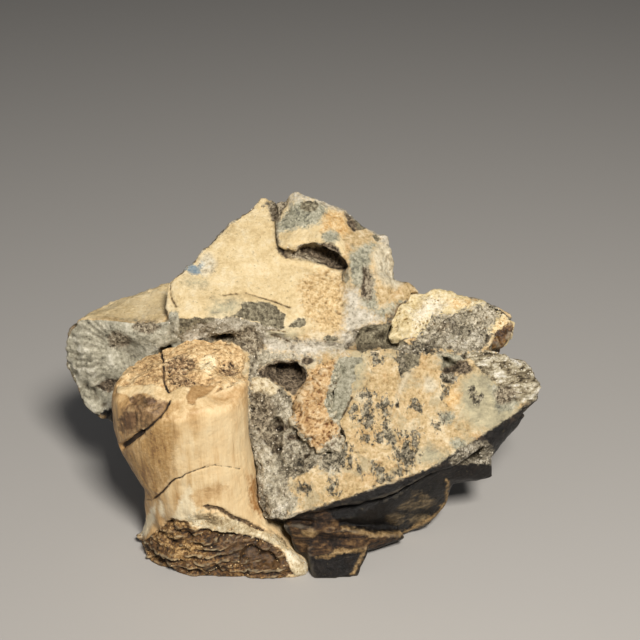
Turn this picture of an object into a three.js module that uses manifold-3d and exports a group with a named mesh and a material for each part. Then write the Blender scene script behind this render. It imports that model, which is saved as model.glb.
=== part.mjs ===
// Fossil ichthyosaur bone in its stone, after a hand specimen about 150 mm across.
// Millimetres, +Z up, +X to the right and +Y to the back of the specimen as it is usually laid down.
// The stone is a union of broken blocks, the bones are set into it, and the whole stands on z = 0.
import * as THREE from "three";
import { ConvexGeometry } from "three/addons/geometries/ConvexGeometry.js";
import { ImprovedNoise } from "three/addons/math/ImprovedNoise.js";
import { mergeVertices } from "three/addons/utils/BufferGeometryUtils.js";
import Module from "manifold-3d";

const wasm = await Module();
wasm.setup();

// ---------------------------------------------------------------- driving dimensions
const GAP = 0.3; // clearance between a bone and the stone that holds it
const STONE_EDGE = 8.5; // longest triangle edge on the stone
const BONE_EDGE = 4.5; // longest triangle edge on the two smaller bones
const CHIP = 1; // corners of the stone closer than this are one corner
const STONE_RELIEF = [[24, 1.3], [8, 1.1]]; // [wavelength, height] of the stone's unevenness
const SHAFT_RELIEF = [[14, 0.6]]; // the limb bone's smooth cortex
const SPONGY_RELIEF = [[9, 1.6], [4.5, 1.0]]; // bone that is broken open
const BROKEN_RECESS = 0.6; // how far broken bone lies below the cortex round it
const NOISE_ORIGIN = new THREE.Vector3(7.3, 2.9, 5.1); // where in the noise the relief starts
const GROUND = { side: 400, depth: 40 }; // the box below z = 0 that is cut away

// The limb bone from its foot up: [z, centre x, centre y, half width, half depth].
const LIMB_STATIONS = [
  [-3, -31.5, -19.5, 26.5, 17],
  [6, -32.5, -19.5, 25, 17.5],
  [14, -35.2, -20, 19.6, 16],
  [20, -36.3, -20.5, 17.6, 14.8],
  [28, -38.2, -20.8, 18, 14.4],
  [35, -40, -20.5, 19.2, 14.8],
  [43, -42, -20, 20.4, 15.6],
  [52, -42.4, -20, 20.7, 16.4],
  [60, -42, -20, 20.6, 17],
  [64, -41.6, -19.8, 20, 16.4],
];
const LIMB_LIP = { top: 22, middle: -37, fall: 0.021 }; // the arch that the broken foot's edge follows
const LIMB_DOME = 3.5; // how far the broken upper end rises above its rim
const LIMB_TILT = 1.5; // and how far the rim rises to the back
const LIMB_RIM = 62; // above this height the limb bone is broken open
const LIMB_FACETS = [36, 19]; // round the bone and along it
const LIMB_TOP_RINGS = [0.75, 0.4]; // inner rings of the upper end, as shares of its radius
const LIMB_FOOT_RING = 0.6; // inner ring of the foot

// Corner points of the spongy fragment in the groove and of the small bone at the upper right.
const FRAGMENT = [
  [
    [6.5, -5, 61.5], [4, -7.5, 58], [2, -10, 54.5], [1.5, -13.5, 50], [-4, -10.5, 54.7], [-7.5, -14.5, 50],
    [-6, -17, 46], [2, -2, 52], [-5, -6, 44], [4, -6, 44],
  ],
  [
    [-7.5, -14.5, 50], [1.5, -14, 50.5], [5.5, -17.5, 45.5], [8, -20, 42], [6, -22, 39], [0.5, -22.5, 38],
    [-5.5, -21, 41], [-8.5, -17, 46], [-4, -8, 42], [4, -10, 38],
  ],
];
const SMALL_BONE = [[
  [21, 2, 65], [25, 3, 67.5], [26, 15, 74], [38, 17, 74.5], [44, 16, 73], [52, 15, 71.5], [56, 9, 68.5],
  [61.5, 9, 67], [61.5, 10, 61], [59, 5, 60], [57, 4, 62], [38, 6, 66], [34, 22, 68], [56, 17, 62],
  [26, 6, 60], [50, 8, 60], [24, 14, 62],
]];

// ---------------------------------------------------------------- the stone's blocks
// Corner points of each convex block.
const BLOCKS = {
  // the body behind everything
  core: [
    [-20, -3, 66], [6, -4, 63], [-16, -29, 20], [0, -30, 19], [-22, -16, 2], [-40, 4, -2], [-46, 2, 40],
    [-38, 28, -2], [-42, 36, 44], [-16, 38, -2], [16, 34, -2], [34, 16, -2], [12, -18, -2], [42, 24, 24],
    [10, 44, 56], [-18, 46, 60], [46, 22, 46], [40, -4, 30], [-8, 2, 70], [-20, -10, -2],
  ],
  // the bed that the limb bone lies in
  bed: [
    [-58, -10, 58], [-58, -12, 46], [-55, -13, 34], [-51, -13, 26], [-49, -12, 14], [-52, -9, -2],
    [-44, 12, -2], [-50, 10, 60], [-18, -18, 42], [-17, -19, 30], [-20, -4, 66], [-12, -16, -2],
    [-20, 10, 60], [-20, 10, -2],
  ],
  // rounded left end of the upper slab
  lobe: [
    [-75, 2, 72], [-80, 4, 66], [-82, 6, 58], [-81, 5, 50], [-77, 2, 40], [-72, -1, 36], [-64, -3, 37],
    [-58, -4, 50], [-50, -4, 66], [-47, -3, 73], [-69, 14, 71], [-58, 20, 72], [-49, 24, 73],
    [-79, 14, 62], [-78, 16, 50], [-70, 26, 60], [-60, 34, 58], [-70, 22, 42], [-58, 30, 40],
    [-45, 34, 66], [-45, 36, 45], [-66, 10, 35], [-52, 18, 34],
  ],
  // the slab's ramp, rising to the back
  ramp: [
    [-46, -4, 76], [-34, -3.5, 75.5], [-22, -3, 72], [-9, -3, 70], [8, -3, 67],
    [-47, 7, 82], [-41, 13, 84.5], [-34, 21, 87.5], [-24, 32, 91.5], [-19, 38, 97], [-14, 40, 96], [2, 30, 88],
    [8, 13, 78], [-46, 0, 45], [8, 0, 42], [-46, 30, 42], [8, 44, 62], [-19, 48, 66], [-34, 44, 60],
  ],
  // the knob on top
  knob: [
    [-14.5, 35, 97], [-8, 35, 101], [0, 33, 99.5], [8, 32, 96], [14, 30, 92], [21, 27, 88], [23, 22, 82],
    [24, 18, 77], [-14, 27, 92.5], [-13.7, 21, 88.4], [-9, 19.5, 90], [0, 18, 92.3], [5, 17.5, 91],
    [8, 14, 86], [14, 14, 84],
    [-12, 45, 90], [10, 44, 85], [21, 38, 78], [-10, 46, 70], [22, 32, 66], [14, 8, 70],
  ],
  // shoulder on the knob's right
  shoulder: [
    [24, 18, 77], [29, 18, 76], [32, 17, 74], [28, 10, 71], [18, 4, 69], [10, 2, 68], [11, 9, 78],
    [14, 12, 83], [10, 30, 76], [30, 26, 66], [8, 0, 55], [28, 6, 58], [30, 24, 50],
  ],
  // small ridge at the upper right
  ridge: [
    [24, 0, 64], [30, 5, 66], [40, 7, 69.5], [46, 11, 70.5], [52, 14, 71], [58, 13, 70], [61, 11, 68],
    [57, 5, 60], [37, -1, 65], [54, 1, 63], [32, 26, 66], [45, 28, 64], [59, 21, 62], [30, 20, 48],
    [58, 14, 50],
  ],
  // the broad slab on the right
  plate: [
    [8, -2, 63], [25, -1, 65], [37, -3, 62], [57, 0, 62], [65, 2, 55], [70, -2, 50], [69, -4, 47],
    [62, -10, 41], [53, -16, 38], [44, -20, 35], [23, -28, 27], [-6, -33, 23], [-16, -31, 19],
    [70, 8, 49], [60, 22, 44], [40, 28, 38], [10, 14, 52], [-12, -16, 18], [24, -8, 22], [55, 2, 32],
  ],
  // thin ledge under the slab's right end
  ledge: [
    [24, -21, 28], [40, -18, 30], [53, -14, 29], [55, -13, 27], [56, -12, 21], [53, -11, 20], [42, -13, 20],
    [26, -16, 20], [54, 4, 30], [52, 6, 22], [28, 10, 20], [26, 8, 32],
  ],
  // dark broken end below the slab's right corner
  slab_end: [
    [62, -10, 41], [53, -16, 38], [66, -5, 41], [59, -7.6, 36.8], [57.9, -6.6, 32.3], [55, -12, 28.5],
    [50, -14, 30], [50, 0, 30], [60, 4, 42], [54, 4, 30],
  ],
  // rounded belly below the slab
  belly: [
    [-2, -30, 18], [10, -29, 19], [24, -25, 24], [44, -17, 32], [46, -6, 33], [43, -9, 18], [41, -11, 9],
    [36, -14, 4], [26, -12, -2], [12, -18, -2], [44, 6, 24], [36, 16, -2], [0, -20, 8],
  ],
  // brown band between the limb bone's foot and the belly
  band: [
    [-12, -31, 17], [3, -31.6, 16.8], [18, -28, 10], [27, -22, 5], [20, -13, -2], [-8, -31, 6], [-4, -30, -2],
    [-10, -14, 14], [20, -12, 10],
  ],
  // the block low at the front
  toe: [
    [-4, -33.5, 10], [-2.5, -36.5, 2], [-1.5, -36.8, -2], [11.5, -36, -2], [14.5, -31, 7], [13, -30, 10],
    [0, -31, 12], [-8, -12, -2], [14, -8, -2], [-6, -12, 10], [14, -10, 8],
  ],
  // steps of the broken back
  back_left: [
    [-44, 26, 56], [-40, 40, 50], [-22, 47, 54], [-20, 46, 30], [-38, 36, 26], [-44, 24, 30], [-30, 44, 64],
    [-20, 30, 60], [-20, 30, 26],
  ],
  back_right: [
    [6, 46, 60], [26, 38, 62], [40, 30, 50], [40, 26, 34], [24, 38, 36], [4, 45, 40], [10, 20, 60],
    [30, 16, 34], [8, 24, 36],
  ],
  back_foot: [
    [-30, 34, -2], [-10, 44, -2], [14, 40, -2], [12, 42, 14], [-12, 46, 18], [-30, 38, 12], [-20, 20, 14],
    [10, 20, 12], [0, 20, -2],
  ],
};

// Corner points of each hollow that is cut out of the blocks.
const HOLLOWS = {
  // between the slab and the limb bone's upper end
  shelf: [[-37, -6, 68], [-30, -7, 72], [-24, -7, 70.5], [-22, -8, 65], [-36, -6, 64], [-30, 4, 67]],
  // at the head of the groove
  cave: [
    [-18, -9, 61], [-12, -9, 63.5], [-5, -9, 62], [-3.5, -12, 55], [-9, -14, 52], [-17, -13, 56.5],
    [-14, 2, 57], [-7, 2, 56],
  ],
  // the groove itself, a shallow channel beside the limb bone
  groove: [
    [-19, -20, 50], [-9, -20, 52], [-7, -34, 28], [-16, -38, 22], [-21, -26, 40], [-13, -11, 44], [-12, -24, 26],
  ],
  // under the knob's overhang
  overhang: [
    [-13.5, 18, 87], [-9, 15, 88.4], [0, 13, 90], [5, 12, 89], [9, 9, 84], [8, 12, 77.5], [0, 15, 79.8],
    [-12, 18, 84], [-9, 27, 88.5], [3, 27, 88.5], [8, 24, 84],
  ],
  // in the knob's brow
  brow: [[10, 26, 97], [15, 24, 94], [15.5, 24, 90.5], [10.5, 24, 92.5], [13, 34, 92]],
  // round one in the slab's top edge
  socket: [[36, -6, 65], [43, -7, 63], [46, -8, 58], [41, -9, 55.5], [36.5, -8, 58.5], [40, 3, 58]],
};

// The flange at the right of the limb bone's foot, and the smooth concavity in the broken foot.
const FOOT_FLANGE = [
  [-18, -32.6, 15], [-15.6, -33, 13], [-12.5, -33, 10.7], [-9.4, -33.4, 7.1], [-6.3, -33.9, 3.5],
  [-4.1, -34.3, 0.2], [-5, -35.2, -2], [-14, -36, -2], [-24, -36.2, -2], [-12, -35.2, 4], [-20, -35.8, 7],
  [-16, -26, 12], [-7, -26, 4], [-4.5, -27, -2], [-22, -22, -2],
];
const FOOT_HOLLOW = [
  [-27, -40, 13.5], [-21.4, -41, 17], [-14.7, -41, 13.8], [-9.9, -41, 7.6], [-11.2, -40, 2.6], [-20, -40, 2],
  [-27, -40, 6], [-21, -31.5, 9], [-14, -32, 5.5], [-24, -33, 6.5],
];

// ---------------------------------------------------------------- mesh helpers
const noise = new ImprovedNoise();

// Height of the surface relief at a point: a sum of noises, each of its own wavelength and height.
function relief(p, layers) {
  let height = 0;
  for (const [wavelength, size] of layers) {
    const q = p.clone().divideScalar(wavelength).add(NOISE_ORIGIN);
    height += size * noise.noise(q.x, q.y, q.z);
  }
  return height;
}

// A closed geometry with only its position, and one vertex where corners are closer than tolerance.
function welded(geometry, tolerance = 1e-3) {
  const bare = new THREE.BufferGeometry();
  bare.setAttribute("position", geometry.getAttribute("position").clone());
  if (geometry.index) bare.setIndex(geometry.index.clone());
  const merged = mergeVertices(bare, tolerance);
  merged.setIndex(facesOf(merged).filter(([a, b, c]) => a !== b && b !== c && c !== a).flat());
  return merged;
}

function facesOf(geometry) {
  const index = geometry.index.array;
  const faces = [];
  for (let i = 0; i < index.length; i += 3) faces.push([index[i], index[i + 1], index[i + 2]]);
  return faces;
}

// Halves the longest edge of every triangle that has one over the limit, until none is left.
function refined(geometry, limit) {
  const points = [];
  const position = geometry.getAttribute("position");
  for (let i = 0; i < position.count; i++) {
    points.push(new THREE.Vector3().fromBufferAttribute(position, i));
  }
  let faces = facesOf(geometry);
  const span = (a, b) => points[a].distanceTo(points[b]);
  for (;;) {
    // the edges to halve in this pass, each the longest of some triangle
    const halves = new Map();
    for (const [a, b, c] of faces) {
      const [i, j] = [[a, b], [b, c], [c, a]].sort((s, t) => span(...t) - span(...s))[0];
      if (span(i, j) > limit) halves.set(Math.min(i, j) + "_" + Math.max(i, j), -1);
    }
    if (halves.size === 0) break;
    const middle = (i, j) => {
      const key = Math.min(i, j) + "_" + Math.max(i, j);
      if (!halves.has(key)) return -1;
      if (halves.get(key) < 0) {
        halves.set(key, points.length);
        points.push(points[i].clone().add(points[j]).multiplyScalar(0.5));
      }
      return halves.get(key);
    };
    // a triangle is cut across one marked edge at a time, the longest first
    const cut = (face) => {
      const edges = [[0, 1, 2], [1, 2, 0], [2, 0, 1]]
        .map(([i, j, k]) => [face[i], face[j], face[k]])
        .sort((s, t) => span(t[0], t[1]) - span(s[0], s[1]));
      for (const [i, j, k] of edges) {
        const m = middle(i, j);
        if (m >= 0) return [...cut([i, m, k]), ...cut([m, j, k])];
      }
      return [face];
    };
    faces = faces.flatMap(cut);
  }
  const made = new THREE.BufferGeometry().setFromPoints(points);
  made.setIndex(faces.flat());
  return made;
}

// Moves each vertex along its normal by what height(point) gives.
function displaced(geometry, height) {
  const moved = geometry.clone();
  moved.computeVertexNormals();
  const position = moved.getAttribute("position");
  const normal = moved.getAttribute("normal");
  const p = new THREE.Vector3();
  const n = new THREE.Vector3();
  for (let i = 0; i < position.count; i++) {
    p.fromBufferAttribute(position, i);
    n.fromBufferAttribute(normal, i);
    p.addScaledVector(n, height(p));
    position.setXYZ(i, p.x, p.y, p.z);
  }
  return moved;
}

function solid(geometry) {
  const closed = welded(geometry);
  return new wasm.Manifold(
    new wasm.Mesh({
      numProp: 3,
      vertProperties: new Float32Array(closed.attributes.position.array),
      triVerts: new Uint32Array(closed.index.array),
    }),
  );
}

function geometryOf(manifold) {
  const mesh = manifold.getMesh();
  const geometry = new THREE.BufferGeometry();
  geometry.setAttribute("position", new THREE.BufferAttribute(mesh.vertProperties, 3));
  geometry.setIndex(new THREE.BufferAttribute(mesh.triVerts, 1));
  return geometry;
}

// Everything below the ground, which is cut away so that the specimen stands flat.
function ground() {
  const { side, depth } = GROUND;
  return solid(new THREE.BoxGeometry(side, side, depth).translate(0, 0, -depth / 2));
}

function hull(corners) {
  return new ConvexGeometry(corners.map((corner) => new THREE.Vector3(...corner)));
}

// ---------------------------------------------------------------- the pieces
// Height of the broken edge round the limb bone's foot: an arch that comes down to both sides.
function lipHeight(x) {
  return LIMB_LIP.top - LIMB_LIP.fall * (x - LIMB_LIP.middle) ** 2;
}

// A piece of spongy bone from the corner points of its lumps.
function spongyBone(lumps) {
  const rough = lumps.map((corners) => solid(hull(corners))).reduce((all, lump) => all.add(lump));
  return displaced(refined(welded(geometryOf(rough), CHIP), BONE_EDGE), (p) => relief(p, SPONGY_RELIEF));
}

// The limb bone: a lathed drum whose rings are set to the stations' ovals.
function limbBone() {
  const [sides, rings] = LIMB_FACETS;
  const profile = [new THREE.Vector2(0, 0), new THREE.Vector2(LIMB_FOOT_RING, 0)];
  for (let i = 0; i <= rings; i++) profile.push(new THREE.Vector2(1, i / rings));
  for (const radius of [...LIMB_TOP_RINGS, 0]) profile.push(new THREE.Vector2(radius, 1));
  const drum = welded(new THREE.LatheGeometry(profile, sides).rotateX(Math.PI / 2));
  const heights = LIMB_STATIONS.map((station) => station[0]);
  const shape = new THREE.CubicInterpolant(heights, LIMB_STATIONS.flatMap((station) => station.slice(1)), 4);
  const position = drum.getAttribute("position");
  for (let i = 0; i < position.count; i++) {
    const [u, v, t] = [position.getX(i), position.getY(i), position.getZ(i)];
    const z = THREE.MathUtils.lerp(heights[0], heights.at(-1), t);
    const [x, y, halfWidth, halfDepth] = shape.evaluate(z);
    const dome = t === 1 ? LIMB_DOME * (1 - u * u - v * v) + LIMB_TILT * v : 0;
    position.setXYZ(i, x + u * halfWidth, y + v * halfDepth, z + dome);
  }
  const rough = displaced(drum, (p) => {
    const broken = p.z > LIMB_RIM || p.z < lipHeight(p.x);
    return broken ? relief(p, SPONGY_RELIEF) - BROKEN_RECESS : relief(p, SHAFT_RELIEF);
  });
  const whole = solid(rough).add(solid(spongyBone([FOOT_FLANGE])));
  return geometryOf(whole.subtract(solid(hull(FOOT_HOLLOW))));
}

// The space that a bone takes up in the stone, with its clearance.
function socket(bone) {
  return solid(displaced(bone, () => GAP)).add(solid(displaced(bone, () => GAP / 2))).add(solid(bone));
}

function stone(bones) {
  let rough = solid(hull(BLOCKS.core));
  for (const corners of Object.values(BLOCKS)) rough = rough.add(solid(hull(corners)));
  for (const corners of Object.values(HOLLOWS)) rough = rough.subtract(solid(hull(corners)));
  const fine = refined(welded(geometryOf(rough), CHIP), STONE_EDGE);
  let body = solid(displaced(fine, (p) => relief(p, STONE_RELIEF))).subtract(ground());
  for (const bone of bones) body = body.subtract(socket(bone));
  return geometryOf(body);
}

// ---------------------------------------------------------------- the specimen
const specimen = new THREE.Group();

function addPiece(name, geometry, colour, roughness) {
  const material = new THREE.MeshStandardMaterial({ color: colour, roughness, metalness: 0 });
  const piece = new THREE.Mesh(geometry, material);
  piece.name = name;
  specimen.add(piece);
}

const limb = limbBone();
const fragment = spongyBone(FRAGMENT);
const small = spongyBone(SMALL_BONE);
addPiece("matrix", stone([limb, fragment, small]), 0x6f6b60, 0.8);
addPiece("limb_bone", geometryOf(solid(limb).subtract(ground())), 0xb08e62, 0.55);
addPiece("bone_fragment", fragment, 0xc49a6c, 0.85);
addPiece("small_bone", small, 0xc9ad7c, 0.8);

// The origin is the middle of the specimen's footprint, on the ground.
const centre = new THREE.Box3().setFromObject(specimen).getCenter(new THREE.Vector3());
specimen.position.set(-centre.x, -centre.y, 0);

export default specimen;
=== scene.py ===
"""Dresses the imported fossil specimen: broken limestone, weathered coat, fossil bone, crystals and stage."""
import math

import bmesh
import bpy
import numpy as np
from bpy.props import FloatProperty, FloatVectorProperty, IntProperty, PointerProperty
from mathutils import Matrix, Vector


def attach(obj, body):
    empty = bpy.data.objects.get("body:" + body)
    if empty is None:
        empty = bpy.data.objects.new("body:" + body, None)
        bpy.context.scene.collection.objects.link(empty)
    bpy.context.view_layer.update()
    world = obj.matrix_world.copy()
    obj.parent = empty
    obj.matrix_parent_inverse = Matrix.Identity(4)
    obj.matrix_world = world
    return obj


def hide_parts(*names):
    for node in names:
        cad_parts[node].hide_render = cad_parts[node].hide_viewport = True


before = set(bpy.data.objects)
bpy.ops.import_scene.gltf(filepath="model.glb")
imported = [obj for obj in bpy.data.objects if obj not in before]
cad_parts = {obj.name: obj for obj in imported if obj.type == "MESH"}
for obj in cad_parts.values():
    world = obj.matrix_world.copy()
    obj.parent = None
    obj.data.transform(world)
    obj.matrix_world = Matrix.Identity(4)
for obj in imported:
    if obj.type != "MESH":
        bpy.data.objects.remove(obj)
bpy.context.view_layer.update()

bl_info = {
    "name": "Fossil Bone Specimen",
    "version": (1, 0, 0),
    "blender": (4, 5, 0),
    "location": "View3D > Sidebar > Fossil",
    "description": "Makes the stone, the bones and the stage of a fossil hand specimen",
    "category": "Object",
}

MM = 0.001  # one millimetre in the scene's metres
BODY = "root"

# ------------------------------------------------------------------ where each kind of surface lies
# A stroke is (radius, [points]) in millimetres: everything within the radius of the line of points.
STONE_ZONES = {
    "more_coat": [
        (4.0, [(-67, -2, 72.5), (-60, 6, 71.6), (-52, 9, 73)]),
        (6.5, [(-60, 2, 72), (-52, 2, 72.5), (-45, 0, 74), (-42, 6, 77)]),
        (4.5, [(24, 12, 85), (27, 8, 79), (24, 5, 76)]),
        (3.4, [(31, 9, 77), (36, 12, 75)]),
    ],
    "shell": [  # the conchoidal break of the left end
        (27, [(-66, -6, 56), (-50, -8, 58)]),
    ],
}
# Across, up the coated faces, and out of them.
LEAN = np.array([[1, 0, 0], [0, 0.5, 0.866], [0, -0.866, 0.5]])
OVAL_CORNERS = 12


def oval(across, up, half_width, half_height, turn=0):
    """Outline of an oval patch, turned anticlockwise by some degrees."""
    angle = math.radians(turn)
    points = []
    for k in range(OVAL_CORNERS):
        step = 2 * math.pi * k / OVAL_CORNERS
        a, b = half_width * math.cos(step), half_height * math.sin(step)
        points.append((across + a * math.cos(angle) - b * math.sin(angle),
                       up + a * math.sin(angle) + b * math.cos(angle)))
    return points


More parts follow.
